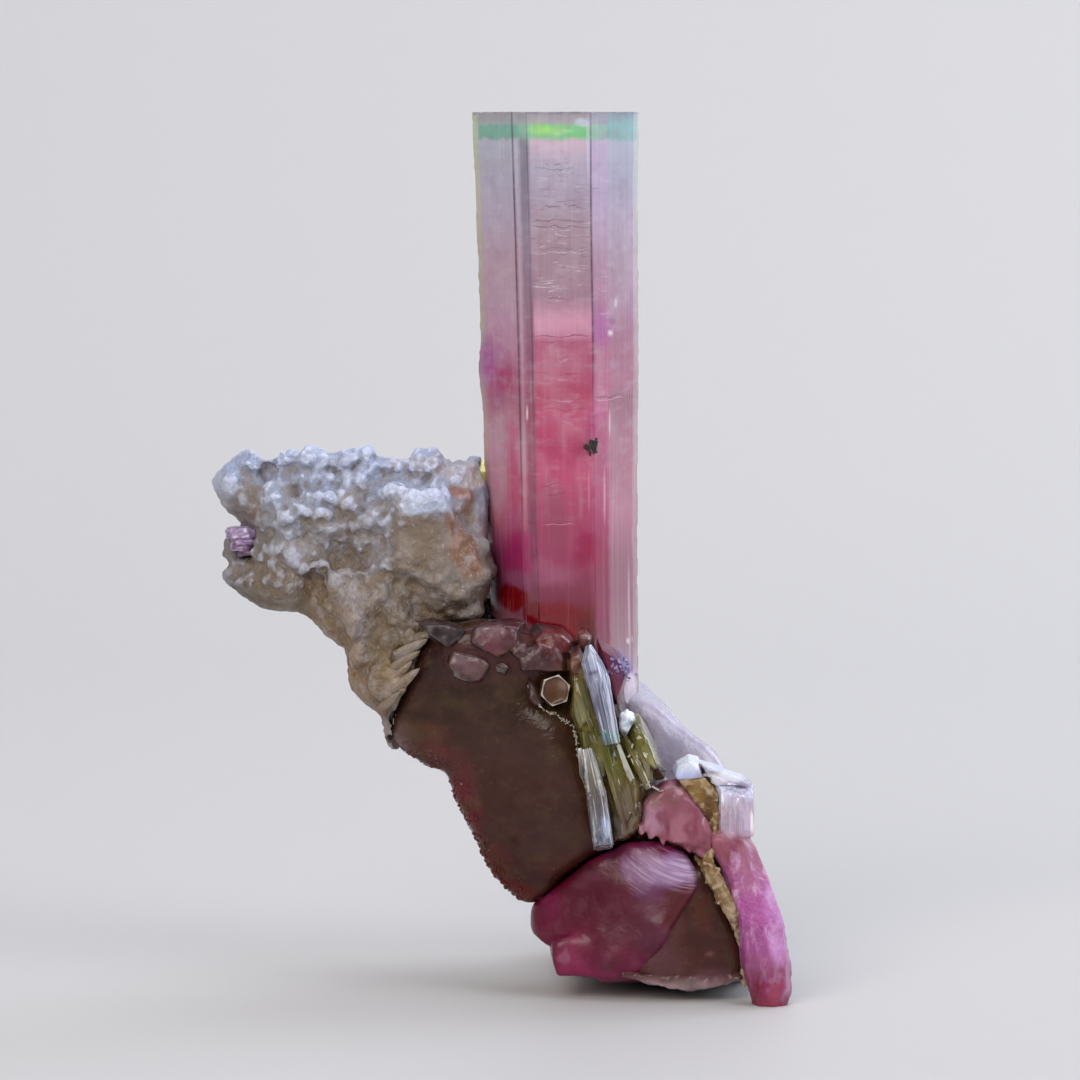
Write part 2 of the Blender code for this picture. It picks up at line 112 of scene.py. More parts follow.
def along(stations, pitch):
    """Rings every pitch mm along a path of (centre, radius): centre, radius and facing of each."""
    path = [(Vector(centre), radius) for centre, radius in stations]
    spans = [(b[0] - a[0]).length for a, b in zip(path, path[1:])]
    steps = max(3, round(sum(spans) / pitch))
    points = []
    for j in range(steps + 1):
        left, k = sum(spans) * j / steps, 0
        while k < len(spans) - 1 and left > spans[k]:
            left -= spans[k]
            k += 1
        share = between(left / spans[k], 0, 1)
        radius = path[k][1] * (1 - share) + path[k + 1][1] * share
        points.append((path[k][0].lerp(path[k + 1][0], share), radius))
    heading = [points[min(j + 2, steps)][0] - points[max(j - 2, 0)][0] for j in range(steps + 1)]
    return [(centre, radius, way.to_track_quat("Z", "Y").to_matrix())
            for (centre, radius), way in zip(points, heading)]


def crystal(stations, corners=6, ribs=0.06, turn=0.0, squash=1.0, seed=1, pitch=0.35, per_side=8):
    """A prism along its stations, with grooves of differing depth that run its length."""
    chance = random.Random(seed)
    rows = along(stations, pitch)
    foot, tip = rows[0], rows[-1]
    rows = [(foot[0], foot[1] * share, foot[2]) for share in ROUNDED_END] + rows
    rows += [(tip[0], tip[1] * share, tip[2]) for share in reversed(ROUNDED_END)]
    turns = [2 * math.pi * k / corners + turn for k in range(corners + 1)]
    ring, depth = [], []
    for k in range(corners):
        for i in range(per_side):
            share = i / per_side
            ring.append(Vector((
                math.cos(turns[k]) * (1 - share) + math.cos(turns[k + 1]) * share,
                (math.sin(turns[k]) * (1 - share) + math.sin(turns[k + 1]) * share) * squash,
                0,
            )))
            depth.append(ribs * chance.random() * (1 if i else 0.2))

    def place(i, j):
        centre, radius, facing = rows[j]
        fade = 0.65 + 0.35 * noise.noise(Vector((i * 1.7, j * 0.06, seed)))
        return centre + facing @ (ring[i] * radius * (1 - depth[i] * fade))

    return skin(len(ring), len(rows), place)


def lump(mesh, centre, radii, detail):
    """Adds a stretched ball to a mesh."""
    place = Matrix.Translation(centre) @ Matrix.Diagonal((*radii, 1))
    bmesh.ops.create_icosphere(mesh, subdivisions=detail, radius=1, matrix=place)


def blade(mesh, centre, sizes, facing):
    """Adds a slab with square edges to a mesh: a thin bladed crystal, or a grain."""
    place = Matrix.Translation(centre) @ facing.to_4x4() @ Matrix.Diagonal((*sizes, 1))
    bmesh.ops.create_cube(mesh, size=2, matrix=place)


def bevel(mesh, offset, segments=1):
    """Takes the edges off."""
    bmesh.ops.bevel(mesh, geom=mesh.edges, offset=offset, segments=segments, profile=0.5, material=-1,
                    affect="EDGES")


def hull(points, edge):
    """A broken crystal: the hull of its points, with its edges taken off."""
    mesh = bmesh.new()
    made = bmesh.ops.convex_hull(mesh, input=[mesh.verts.new(point) for point in points])
    unused = set(made["geom_interior"] + made["geom_unused"])
    loose = [part for part in unused if isinstance(part, bmesh.types.BMVert)]
    bmesh.ops.delete(mesh, geom=loose, context="VERTS")
    bmesh.ops.dissolve_limit(mesh, angle_limit=math.radians(4), verts=mesh.verts, edges=mesh.edges)
    bevel(mesh, edge, 2)
    return mesh


def chip(outline, back, front, share=0.6, edge=0.12):
    """A broken crystal: its outline in X and Z at the back, and a smaller one in front."""
    middle = sum((Vector((x, 0, z)) for x, z in outline), Vector()) / len(outline)
    points = [(x, back, z) for x, z in outline]
    for k, (x, z) in enumerate(outline):
        near = middle.lerp(Vector((x, 0, z)), share)
        points.append((near.x, front + 0.3 * math.sin(k * 2.1), near.z))
    return hull(points, edge)


def cad_copy(name):
    """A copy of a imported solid's mesh in the drawing's millimetres, merged into one skin."""
    mesh = bmesh.new()
    mesh.from_mesh(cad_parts[name].data)
    mesh.transform(TO_FRAME.inverted())
    bmesh.ops.remove_doubles(mesh, verts=mesh.verts, dist=CAD_WELD)
    return mesh


def smooth(mesh, verts, passes):
    """Evens out some of the points, a little in each pass."""
    for _ in range(passes):
        bmesh.ops.smooth_vert(mesh, verts=verts, factor=0.5, use_axis_x=True, use_axis_y=True,
                              use_axis_z=True)
    return mesh


def fused(mesh, voxel, passes=0):
    """One even skin over all that the mesh holds, of squares as wide as the voxel."""
    data = bpy.data.meshes.new("rough")
    mesh.to_mesh(data)
    mesh.free()
    obj = bpy.data.objects.new("rough", data)
    bpy.context.scene.collection.objects.link(obj)
    cover = obj.modifiers.new("skin", "REMESH")
    cover.mode = "VOXEL"
    cover.voxel_size = voxel
    bpy.context.view_layer.update()
    even = bmesh.new()
    even.from_mesh(obj.evaluated_get(bpy.context.evaluated_depsgraph_get()).data)
    bpy.data.objects.remove(obj)
    return smooth(even, even.verts, passes)


def swell(mesh, depth_at):
    """Moves each point along its normal, by what depth_at gives for its place and its normal."""
    mesh.normal_update()
    moves = [vert.normal * depth_at(vert.co, vert.normal) for vert in mesh.verts]
    for vert, move in zip(mesh.verts, moves):
        vert.co += move
    return mesh


def relief(mesh, *waves, grow=0.0, seed=0):
    """Moves the surface in and out by noise: a wave is a depth and a length in mm, and maybe a stretch."""

    def depth_at(spot, _):
        push = grow
        for k, (depth, length, *stretch) in enumerate(waves):
            place = spot / length + Vector((seed * 7.1 + k * 3.3, 0, seed * 2.9))
            if stretch:
                place = place * Vector(stretch[0])
            push += depth * noise.noise(place)
        return push

    return swell(mesh, depth_at)


def nodules(mesh, *sets):
    """Swells the surface into rounded grains. A set is the depth, width and height of its grains, and
    share, a function that says for a point and its normal how much of them shows there."""

    def depth_at(spot, out):
        push = 0
        for depth, width, height, share in sets:
            shown = share(spot, out)
            if shown > 0.01:
                place = Vector((spot.x / width, spot.y / width, spot.z / height))
                nearest = noise.voronoi(place + noise.noise_vector(place * 0.7) * 0.4)[0][0]
                push += depth * shown * (0.9 - 2 * min(nearest, 0.9))
        return push

    return swell(mesh, depth_at)


def stray(chance, spread):
    """A small step in any direction."""
    return Vector([chance.gauss(0, spread) for _ in range(3)])


def any_way(chance):
    """A turn to face any direction."""
    return stray(chance, 1).to_track_quat("Z", "Y").to_matrix()


GRAIN_SUNK = 0.1  # how far a strewn grain's middle lies under the surface, as a share of its half width


def strew(mesh, ground, path, reach, count, sizes, chance):
    """Adds small broken grains to a mesh, sunk in the ground mesh's front within reach of a path."""
    path = [Vector(point) for point in path]
    ground.normal_update()
    near = []
    for face in ground.faces:
        middle = face.calc_center_median()
        for start, end in zip(path, path[1:]):
            share = between((middle - start).dot(end - start) / (end - start).length_squared, 0, 1)
            away = middle - start.lerp(end, share)
            if face.normal.y < 0.25 and math.hypot(away.x, away.z) < reach and abs(away.y) < 4:
                near.append((middle, face.normal.copy()))
                break
    for middle, out in chance.choices(near, k=count):
        size = chance.uniform(*sizes)
        facing = any_way(chance)
        aside = stray(chance, 0.16)
        spot = middle + aside - out * out.dot(aside) - out * size * GRAIN_SUNK
        blade(mesh, spot, (size, size * chance.uniform(0.5, 1), size * 0.8), facing)
    return mesh


def dent(mesh, centre, radii, push):
    """Pushes the surface by a vector, most at the centre."""
    for vert in mesh.verts:
        away = Vector([(p - c) / r for p, c, r in zip(vert.co, centre, radii)]).length
        if away < 1:
            vert.co += Vector(push) * (1 - away * away) ** 1.5
    return mesh


def ease(mesh, centre, radii, passes):
    """Smooths the surface near a centre."""
    near = [v for v in mesh.verts if sum(((p - c) / r) ** 2 for p, c, r in zip(v.co, centre, radii)) < 1]
    return smooth(mesh, near, passes)


def slice_off(mesh, *cuts):
    """Removes what lies beyond each plane, a point and the way out, and closes the cut with a flat face."""
    for point, away in cuts:
        every = mesh.verts[:] + mesh.edges[:] + mesh.faces[:]
        cut = bmesh.ops.bisect_plane(mesh, geom=every, plane_co=point, plane_no=away, clear_outer=True)
        rim = [part for part in cut["geom_cut"] if isinstance(part, bmesh.types.BMEdge)]
        bmesh.ops.edgeloop_fill(mesh, edges=rim)
    return mesh


def join(first, *others):
    """Adds other drawn meshes to the first."""
    for other in others:
        data = bpy.data.meshes.new("part")
        other.to_mesh(data)
        other.free()
        first.from_mesh(data)
        bpy.data.meshes.remove(data)
    return first


def put(name, mesh, finish, slot, *stands_for, sharp=28):
    """Makes a piece from a drawn mesh: inside the solids' box, in the frame, with its finish and ride.
    Edges that turn by more than sharp degrees stay crisp."""
    bmesh.ops.recalc_face_normals(mesh, faces=mesh.faces)
    for vert in mesh.verts:
        vert.co = [between(c, low, high) for c, low, high in zip(vert.co, BOX_LOW, BOX_HIGH)]
    data = bpy.data.meshes.new(name)
    mesh.to_mesh(data)
    mesh.free()
    data.transform(TO_FRAME)
    data.shade_smooth()
    data.set_sharp_from_angle(angle=math.radians(sharp))
    data.materials.append(finish)
    obj = bpy.data.objects.new(name, data)
    bpy.context.scene.collection.objects.link(obj)
    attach(obj, "root")
    if stands_for:
        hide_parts(*stands_for)
    return obj


# ---------------------------------------------------------------- colour on the surface

SHEEN = 0.03  # the white that a glossy surface adds to its own colour in a pale room, taken off the colour
LEAST = 0.35  # the least share of a colour that is left when the sheen is taken off


def points_of(obj):
    """The piece's points in the drawing's millimetres, one row each."""
    spots = np.empty(len(obj.data.vertices) * 3)
    obj.data.vertices.foreach_get("co", spots)
    return (spots.reshape(-1, 3) - np.array(ORIGIN)) / MM


def drifted(spots, drift, wave):
    """The points pushed about by slow noise, so that what is drawn at them has a natural edge."""
    return spots + np.array([noise.noise_vector(Vector(spot) / wave) for spot in spots]) * drift


def patch(spots, centre, radii, soft=0.5, strength=0.7):
    """From 0 to its strength: a soft-edged ellipsoid."""
    away = np.linalg.norm((spots - np.array(centre)) / np.array(radii), axis=1)
    shown = np.clip((1 + soft - away) / (2 * soft), 0, 1)
    return shown * shown * (3 - 2 * shown) * strength


def shades_at(zones, heights):
    """The colour at each height, from a list of heights and hex colours, or from one colour."""
    if isinstance(zones, str):
        zones = ((0, zones), (100, zones))
    zones = sorted(zones)
    known = [height for height, _ in zones]
    shades = np.array([colour(code) for _, code in zones])
    return np.stack([np.interp(heights, known, shades[:, k]) for k in range(3)], 1)


def paint(obj, ground, patches=(), drift=0.5, wave=1.5, columns=(), lines=(), straight=None):
    """Colours a piece point by point: a ground that may change with height, columns over it that do so
    too and hold between two X, then patches: colour, centre, radii, softness from 0 to 1, and strength.
    Lines are patches that don't drift. Columns and lines go by the straight points, where given."""
    spots = points_of(obj)
    straight = spots if straight is None else straight
    moved = drifted(spots, drift, wave)
    tint = shades_at(ground, moved[:, 2])
    for left, right, soft, zones in columns:
        x = straight[:, 0] + (moved - spots)[:, 0] * 0.25
        shown = np.clip((x - left) / soft + 0.5, 0, 1) * np.clip((right - x) / soft + 0.5, 0, 1)
        tint += (shades_at(zones, spots[:, 2] + (moved - spots)[:, 2] * 0.6) - tint) * shown[:, None]
    for where, drawn in ((moved, patches), (straight, lines)):
        for code, *shape in drawn:
            tint += (np.array(colour(code)) - tint) * patch(where, *shape)[:, None]
    tint = np.maximum(tint - SHEEN, tint * LEAST)
    stored = obj.data.color_attributes.new("tint", "FLOAT_COLOR", "POINT")
    stored.data.foreach_set("color", np.c_[tint, np.ones(len(tint))].astype(np.float32).ravel())
    return obj


def store(obj, name, values):
    """Keeps a number or a vector for each point of a piece, under a name that its finish reads."""
    kind, field = ("FLOAT", "value") if values.ndim == 1 else ("FLOAT_VECTOR", "vector")
    stored = obj.data.attributes.new(name, kind, "POINT")
    stored.data.foreach_set(field, values.astype(np.float32).ravel())


def mark(obj, name, *patches, drift=0.5, wave=1.5):
    """Stores where a layer of the finish shows on a piece: the strongest of its patches at each point."""
    spots = drifted(points_of(obj), drift, wave)
    store(obj, name, np.max([patch(spots, *shape) for shape in patches], axis=0))


def mark_hollows(obj, depth=0.3, passes=14):
    """Stores how deep each point lies in a hollow: 0 on a crest, 1 in a crevice."""
    spots = points_of(obj)
    edges = np.empty(len(obj.data.edges) * 2, np.int32)
    obj.data.edges.foreach_get("vertices", edges)
    a, b = edges.reshape(-1, 2).T
    ends, others = np.r_[a, b], np.r_[b, a]
    count = np.bincount(ends, minlength=len(spots))[:, None]
    eased = spots.copy()
    for _ in range(passes):
        total = np.stack([np.bincount(ends, eased[others, k], len(spots)) for k in range(3)], 1)
        eased = total / np.maximum(count, 1)
    normals = np.empty(len(spots) * 3, np.float32)
    obj.data.vertex_normals.foreach_get("vector", normals)
    hollow = ((eased - spots) * normals.reshape(-1, 3)).sum(1) / depth * 0.5 + 0.5
    store(obj, "hollow", np.clip(hollow, 0, 1))


def mark_grain(obj, low, high):
    """Stores the points turned so that low to high is upright: grooves follow a leaning prism."""
    turn = np.array((Vector(high) - Vector(low)).rotation_difference(Vector((0, 0, 1))).to_matrix())
    store(obj, "fibre", points_of(obj) @ turn.T)


def mark_fibres(obj, centre):
    """Stores, for each point, how far it lies from the silk's centre and how far round it."""
    spots = points_of(obj) - np.array(centre)
    reach = np.hypot(spots[:, 0], spots[:, 2])
    turn = np.arctan2(spots[:, 2], spots[:, 0]) * 6
    store(obj, "fibre", np.stack([reach, turn, spots[:, 1]], 1))


# ---------------------------------------------------------------- materials


def node(tree, kind, inputs=(), **settings):
    """Adds a shader node with its settings, and fills its inputs with values or other nodes' outputs."""
    made = tree.nodes.new("ShaderNode" + kind)
    for name, value in settings.items():
        setattr(made, name, value)
    for socket, value in dict(inputs).items():
        if isinstance(value, bpy.types.NodeSocket):
            tree.links.new(value, made.inputs[socket])
        else:
            made.inputs[socket].default_value = value
    return made


def times(tree, value, factor):
    """The product of two shader values."""
    return node(tree, "Math", {0: value, 1: factor}, operation="MULTIPLY").outputs[0]


def plus(tree, value, other):
    """The sum of two shader values."""
    return node(tree, "Math", {0: value, 1: other}, operation="ADD").outputs[0]


def per_axis(scale):
    """Cycles per mm along X, Y and Z, from one number, from across and up, or from all three."""
    if not isinstance(scale, tuple):
        scale = (scale, scale)
    return scale if len(scale) == 3 else (scale[0], *scale)


def level_band(tree, drawn_mm, level):
    """How far a point lies from a level that wanders a little, in mm."""
    wander = tree.nodes.get("wander")
    if not wander:
        wave = node(tree, "TexNoise", {"Vector": drawn_mm, "Scale": 0.7, "Detail": 2})
        height = node(tree, "SeparateXYZ", {0: drawn_mm})
        wander = node(tree, "Math", {0: height.outputs["Z"], 1: wave.outputs[0]}, operation="ADD",
                      name="wander")
    off = plus(tree, wander.outputs[0], -level - 0.5)
    return node(tree, "Math", {0: off}, operation="ABSOLUTE").outputs[0]


def noise_or_cells(tree, drawn_mm, layer):
    """A layer's own pattern, on the drawing's millimetres or along the stored fibres."""
    start = drawn_mm
    if layer.get("fibre"):
        start = node(tree, "Attribute", attribute_name="fibre").outputs["Vector"]
    spot = node(tree, "VectorMath", {0: start, 1: per_axis(layer["scale"])}, operation="MULTIPLY").outputs[0]
    if layer.get("cells"):
        return node(tree, "TexVoronoi", {"Vector": spot, "Scale": 1},
                    feature=layer["cells"]).outputs["Distance"]
    return node(tree, "TexNoise", {
        "Vector": spot, "Scale": 1, "Detail": 3, "Roughness": 0.55, "Distortion": layer.get("swirl", 0),
    }).outputs[0]


def mask(tree, drawn_mm, layer):
    """From 0 to 1: where a layer shows, by a mark on the piece, by a level or by a pattern."""
    if "mark" in layer:
        shown = node(tree, "Attribute", attribute_name=layer["mark"]).outputs["Fac"]
    elif "level" in layer:
        shown = level_band(tree, drawn_mm, layer["level"])
    else:
        shown = noise_or_cells(tree, drawn_mm, layer)
    low, high = layer["range"]
    shown = node(tree, "MapRange", {"Value": shown, "From Min": low, "From Max": high},
                 interpolation_type="SMOOTHSTEP").outputs[0]
    if "within" in layer:
        shown = times(tree, shown, node(tree, "Attribute", attribute_name=layer["within"]).outputs["Fac"])
    return shown


GLOW_TINT = (1.0, 0.7, 0.6)  # scattered light goes furthest in red


def mineral(name, gloss, layers, ior=1.544, clear=0.0, glow=0.0, glow_depth=1.0, coat=0.0, tint=None,
            shine=0.5):
    """A finish built up in layers over the piece's own tint.
    gloss is the roughness, clear the share of light let through, glow the share scattered under the
    surface, to a depth in mm, shine how strongly it mirrors: 0.5 if polished, less if broken or weathered.
    A layer may tint (colour, amount, way), roughen (change), lift (mm) or cloud (less clear)."""
    made = bpy.data.materials.new(name)
    made.use_nodes = True
    tree = made.node_tree
    shader = tree.nodes["Principled BSDF"]
    where = node(tree, "TexCoord").outputs["Object"]
    drawn_mm = node(tree, "Mapping", {
        "Vector": where, "Location": tuple(-ORIGIN / MM), "Scale": (1 / MM, 1 / MM, 1 / MM)}).outputs[0]
    if tint:
        shade = node(tree, "RGB").outputs[0]
        shade.default_value = (*colour(tint), 1)
    else:
        shade = node(tree, "Attribute", attribute_name="tint").outputs["Color"]
    rough, height, through = None, None, None
    for layer in layers:
        shown = mask(tree, drawn_mm, layer)
        if "tint" in layer:
            code, amount, *way = layer["tint"]
            shade = node(tree, "Mix", {0: times(tree, shown, amount), 6: shade, 7: (*colour(code), 1)},
                         data_type="RGBA", blend_type=way[0] if way else "MIX").outputs[2]
        if "roughen" in layer:
            rough = plus(tree, rough or gloss, times(tree, shown, layer["roughen"]))
        if "lift" in layer:
            lifted = times(tree, shown, layer["lift"])
            height = plus(tree, height, lifted) if height else lifted
        if "cloud" in layer:
            through = plus(tree, through or clear, times(tree, shown, -layer["cloud"]))
    for socket, value in {
        "Roughness": gloss, "IOR": ior, "Specular IOR Level": shine, "Transmission Weight": clear,
        "Subsurface Weight": glow, "Subsurface Scale": glow_depth * MM, "Subsurface Radius": GLOW_TINT,
        "Coat Weight": coat, "Coat Roughness": 0.05,
    }.items():
        shader.inputs[socket].default_value = value
    tree.links.new(shade, shader.inputs["Base Color"])
    if rough:
        tree.links.new(rough, shader.inputs["Roughness"])
    if through:
        tree.links.new(through, shader.inputs["Transmission Weight"])
    if height:
        bump = node(tree, "Bump", {"Height": height, "Distance": MM, "Strength": 1.0})
        tree.links.new(bump.outputs[0], shader.inputs["Normal"])
    return made


# Elbaite tourmaline: glassy and striated, milky inside, with level healed cracks.
PRISM_CRACKS = (  # height, half thickness, colour, strength
    (82.6, 0.10, "#77697f", 0.55), (80.7, 0.08, "#77697f", 0.6), (78.9, 0.16, "#6d5a68", 0.6),
    (77.5, 0.16, "#705c6a", 0.6), (76.9, 0.09, "#6a4f62", 0.7), (74.7, 0.08, "#7b6473", 0.5),
    (74.3, 0.07, "#efe4ea", 0.4), (71.4, 0.13, "#6f5f68", 0.5), (70.8, 0.10, "#f3e9ee", 0.5),
    (69.8, 0.11, "#6a5560", 0.55), (66.0, 0.10, "#7a4560", 0.8), (65.4, 0.07, "#874b66", 0.6),
    (62.3, 0.08, "#7d3552", 0.7), (59.9, 0.11, "#6a4152", 0.8), (59.6, 0.07, "#efc9d4", 0.6),
    (58.7, 0.22, "#8f3c5c", 0.45), (51.2, 0.09, "#5d2f40", 0.75), (50.1, 0.09, "#5d2f40", 0.75),
    (47.2, 0.07, "#f0bfcd", 0.5),
)
ZONED_TOURMALINE = mineral("zoned_elbaite_tourmaline", 0.12, (
    # soft clouds of lighter and darker growth
    dict(scale=(0.3, 0.2), range=(0.45, 0.7), within="clouds", tint=("#efe6ee", 0.10)),
    dict(scale=(0.45, 0.6), range=(0.5, 0.72), within="clouds", tint=("#8a5f7c", 0.16)),
    # level growth bands, each a little greyer
    dict(scale=(0.04, 0.8), range=(0.48, 0.6), within="clouds", tint=("#a2879a", 0.12)),
    dict(scale=(0.5, 1.0), range=(0.5, 0.72), within="clouds", tint=("#f3e9f0", 0.09)),
    # dark and light wisps of healed cracks, thin and nearly level
    dict(scale=(0.6, 3.2), range=(0.58, 0.68), swirl=1.0, within="veils", tint=("#735f6e", 0.42)),
    dict(scale=(0.5, 2.6), range=(0.6, 0.7), swirl=1.2, within="veils", tint=("#f4ecf4", 0.34), roughen=0.1),
    # striations down the faces
    dict(scale=(5.0, 0.04), range=(0.3, 0.7), tint=("#bfa6b8", 0.14, "MULTIPLY"), lift=0.010),
    dict(scale=(1.6, 0.05), range=(0.5, 0.66), tint=("#f1e6ee", 0.035)),
    # the main cracks, each at its own height, broken up along their length
    *[dict(level=level, range=(thick * 0.75, thick * 0.2), within="cracks", tint=(code, amount * 0.85))
      for level, thick, code, amount in PRISM_CRACKS],
), ior=1.63, clear=0.06, glow=0.3, glow_depth=0.4, coat=0.12, shine=0.35)

# Colourless elbaite: glass-clear, with fine grooves that hold a lavender and a teal cast.
CLEAR_TOURMALINE = mineral("colourless_elbaite_tourmaline", 0.05, (
    dict(fibre=True, scale=(2.6, 0.07), range=(0.5, 0.6), tint=("#464260", 0.6), lift=0.03),
    dict(fibre=True, scale=(1.9, 0.1), range=(0.56, 0.66), tint=("#dfe6fb", 0.6), cloud=0.3),
    dict(scale=0.9, range=(0.55, 0.7), tint=("#7f8374", 0.3)),
    dict(scale=1.8, range=(0.64, 0.7), tint=("#f6f9ff", 0.5)),
), ior=1.63, clear=0.4, glow=0.1, glow_depth=0.4, coat=0.4)

# Olive green elbaite: bottle-glass clear, darker in its depth, with silver glints on its grooves.
OLIVE_TOURMALINE = mineral("olive_elbaite_tourmaline", 0.06, (
    dict(fibre=True, scale=(0.8, 0.2), range=(0.42, 0.66), tint=("#a89c66", 0.35), cloud=0.15),
    dict(fibre=True, scale=(2.6, 0.08), range=(0.52, 0.64), tint=("#3a3212", 0.45), lift=0.03),
    dict(fibre=True, scale=(2.2, 0.3), range=(0.63, 0.70), tint=("#f2eed2", 0.6)),
), ior=1.63, clear=0.35, glow=0.15, glow_depth=0.5, coat=0.4)

# Pink elbaite, massive: milky, with a silk of hair-fine tubes where it curves, whose satin sheen is painted in.
ROSE_TOURMALINE = mineral("pink_elbaite_tourmaline", 0.32, (
    dict(scale=0.45, range=(0.46, 0.7), tint=("#d9a3b8", 0.05)),
    dict(scale=1.2, range=(0.55, 0.72), tint=("#5e1f3c", 0.25)),
    # silk: pale hairs, partly painted satin sheen, and darker gaps between them
    dict(fibre=True, scale=(3.4, 0.3, 0.6), range=(0.42, 0.66), within="silk_sheen", tint=("#d9c6e2", 0.34),
         lift=0.008),
    dict(fibre=True, scale=(6.5, 0.4, 0.8), range=(0.55, 0.72), within="silk_sheen", tint=("#8d6d90", 0.3)),
    # veins and flecks of white mica in the side prism
    dict(scale=(1.1, 0.5), range=(0.5, 0.7), swirl=0.6, within="mottle", tint=("#dcb8da", 0.45), roughen=0.1),
    dict(scale=(1.3, 0.7), range=(0.5, 0.66), swirl=0.6, within="mottle", tint=("#9c3f86", 0.5)),
    dict(scale=(2.2, 2.6), range=(0.4, 0.7), within="mottle", lift=0.04, roughen=0.1),
    # striations of the white cap
    dict(scale=(2.8, 0.06), range=(0.45, 0.62), within="ribs", tint=("#8f8396", 0.5), lift=0.04),
    dict(scale=(1.8, 0.05), range=(0.58, 0.66), within="ribs", tint=("#fbfaff", 0.7)),
    dict(scale=1.2, range=(0.3, 0.7), lift=0.02),
), ior=1.63, clear=0.05, glow=0.2, glow_depth=0.6, shine=0.2)

# Smoky quartz: brown and part clear, cloudy within, with a satin broken face.
SMOKY_QUARTZ = mineral("smoky_quartz", 0.2, (
    dict(scale=0.14, range=(0.42, 0.64), tint=("#4c2c28", 0.4)),
    dict(scale=(0.28, 0.4), range=(0.5, 0.7), tint=("#453818", 0.4)),
    dict(scale=(0.5, 0.6), range=(0.45, 0.75), tint=("#75523f", 0.13), roughen=0.08),
    dict(scale=1.4, range=(0.6, 0.72), tint=("#8a6a5c", 0.08)),
    dict(scale=2.6, range=(0.55, 0.7), tint=("#2a1714", 0.14)),
    dict(scale=0.8, range=(0.3, 0.7), lift=0.035),
    dict(scale=2.6, range=(0.3, 0.7), lift=0.012),
), clear=0.1, glow=0.2, glow_depth=1.0, shine=0.2)

# Milky quartz: pale lilac-grey, smooth, glowing where it is thin.
PALE_QUARTZ = mineral("milky_lilac_quartz", 0.24, (
    dict(scale=0.22, range=(0.42, 0.66), tint=("#d9d3dd", 0.35)),
    dict(scale=(0.5, 0.8), range=(0.5, 0.74), tint=("#ece6ee", 0.25), roughen=0.1),
    dict(scale=1.3, range=(0.3, 0.7), lift=0.04),
), clear=0.15, glow=0.4, glow_depth=1.5, coat=0.1, shine=0.4)

# Albite, the bladed kind: its crests painted bluish white as highlight from the cool top light, its hollows
# brown with rust and dirt and painted darker as shade.
ALBITE = mineral("bladed_albite", 0.42, (
    dict(scale=0.35, range=(0.42, 0.66), tint=("#e2ddd6", 0.12)),
    # painted bluish white highlight on the clean crests above, sand on the crests below, brown in the hollows,
    # partly rust and dirt and partly painted shade, and painted shade darkest in the crevices
    dict(mark="hollow", range=(0.48, 0.22), within="clean_and_lit", tint=("#dde6ff", 0.6), roughen=-0.1),
    dict(mark="hollow", range=(0.46, 0.2), within="earth", tint=("#a09284", 0.38)),
    dict(mark="hollow", range=(0.52, 0.8), tint=("#86704f", 0.40), roughen=0.2),
    dict(mark="hollow", range=(0.74, 1.0), tint=("#40301f", 0.55)),
    # grains and grime of the lower part
    dict(scale=0.6, range=(0.5, 0.7), within="earth", tint=("#7a6244", 0.45)),
    dict(scale=(0.8, 0.6), range=(0.52, 0.66), within="earth", tint=("#a29a9c", 0.5)),
    dict(scale=(2.4, 2.0), range=(0.60, 0.70), within="earth", tint=("#3c2c1e", 0.5)),
    dict(scale=(3.2, 2.6), range=(0.58, 0.70), within="earth", tint=("#b8ab9c", 0.36)),
    dict(scale=(2.6, 1.6), range=(0.62, 0.72), tint=("#f1f4fb", 0.15)),
    # sugary grains, with painted shade in the gaps between them
    dict(cells="F1", scale=(1.7, 1.5), range=(0.65, 0.0), within="grains", lift=0.12),
    dict(cells="F1", scale=(3.1, 2.8), range=(0.65, 0.0), within="grains", lift=0.05),
    dict(cells="F1", scale=(1.7, 1.5), range=(0.4, 0.7), within="grains", tint=("#6a543c", 0.24)),
    dict(scale=(3.6, 2.6), range=(0.35, 0.7), lift=0.05),
), ior=1.53, glow=0.3, glow_depth=0.4, shine=0.35)

# Broken lilac and maroon grains: part clear, glassy on their fresh faces.
LAVENDER_GRAIN = mineral("lilac_lepidolite_and_quartz", 0.34, (
    dict(scale=(0.6, 0.8), range=(0.42, 0.66), tint=("#80646a", 0.2), cloud=0.1),
    dict(scale=(1.5, 2.2), range=(0.54, 0.72), tint=("#381a20", 0.3)),
    dict(scale=1.1, range=(0.55, 0.75), tint=("#b9969e", 0.22)),
    dict(scale=2.8, range=(0.66, 0.72), tint=("#a05c3c", 0.3)),
    dict(scale=1.0, range=(0.3, 0.7), lift=0.03),
), clear=0.15, glow=0.25, glow_depth=0.6, shine=0.4)

# Lepidolite mica: pearly lavender sheets, brighter on the sheet edges.
LAVENDER_MICA = mineral("lepidolite_mica", 0.25, (
    dict(scale=(0.8, 3.0), range=(0.4, 0.62), tint=("#cdb4dc", 0.5)),
    dict(scale=(0.6, 7.0), range=(0.58, 0.68), tint=("#7d5a8c", 0.4), lift=0.03),
), ior=1.56, glow=0.2, glow_depth=0.4, coat=0.35)

# Ochre: clay and iron rust that cements the seam, dull and crumbly.
OCHRE = mineral("ochre_clay_seam", 0.6, (
    # the crests of the crumbs painted pale as lit, and the hollows between them painted dark as shade
    dict(mark="hollow", range=(0.48, 0.25), tint=("#c7b299", 0.5)),
    dict(mark="hollow", range=(0.52, 0.85), tint=("#3a2819", 0.75)),
    dict(scale=1.2, range=(0.55, 0.7), tint=("#8f6a38", 0.45)),
    dict(scale=5.0, range=(0.3, 0.7), lift=0.05),
), ior=1.5)

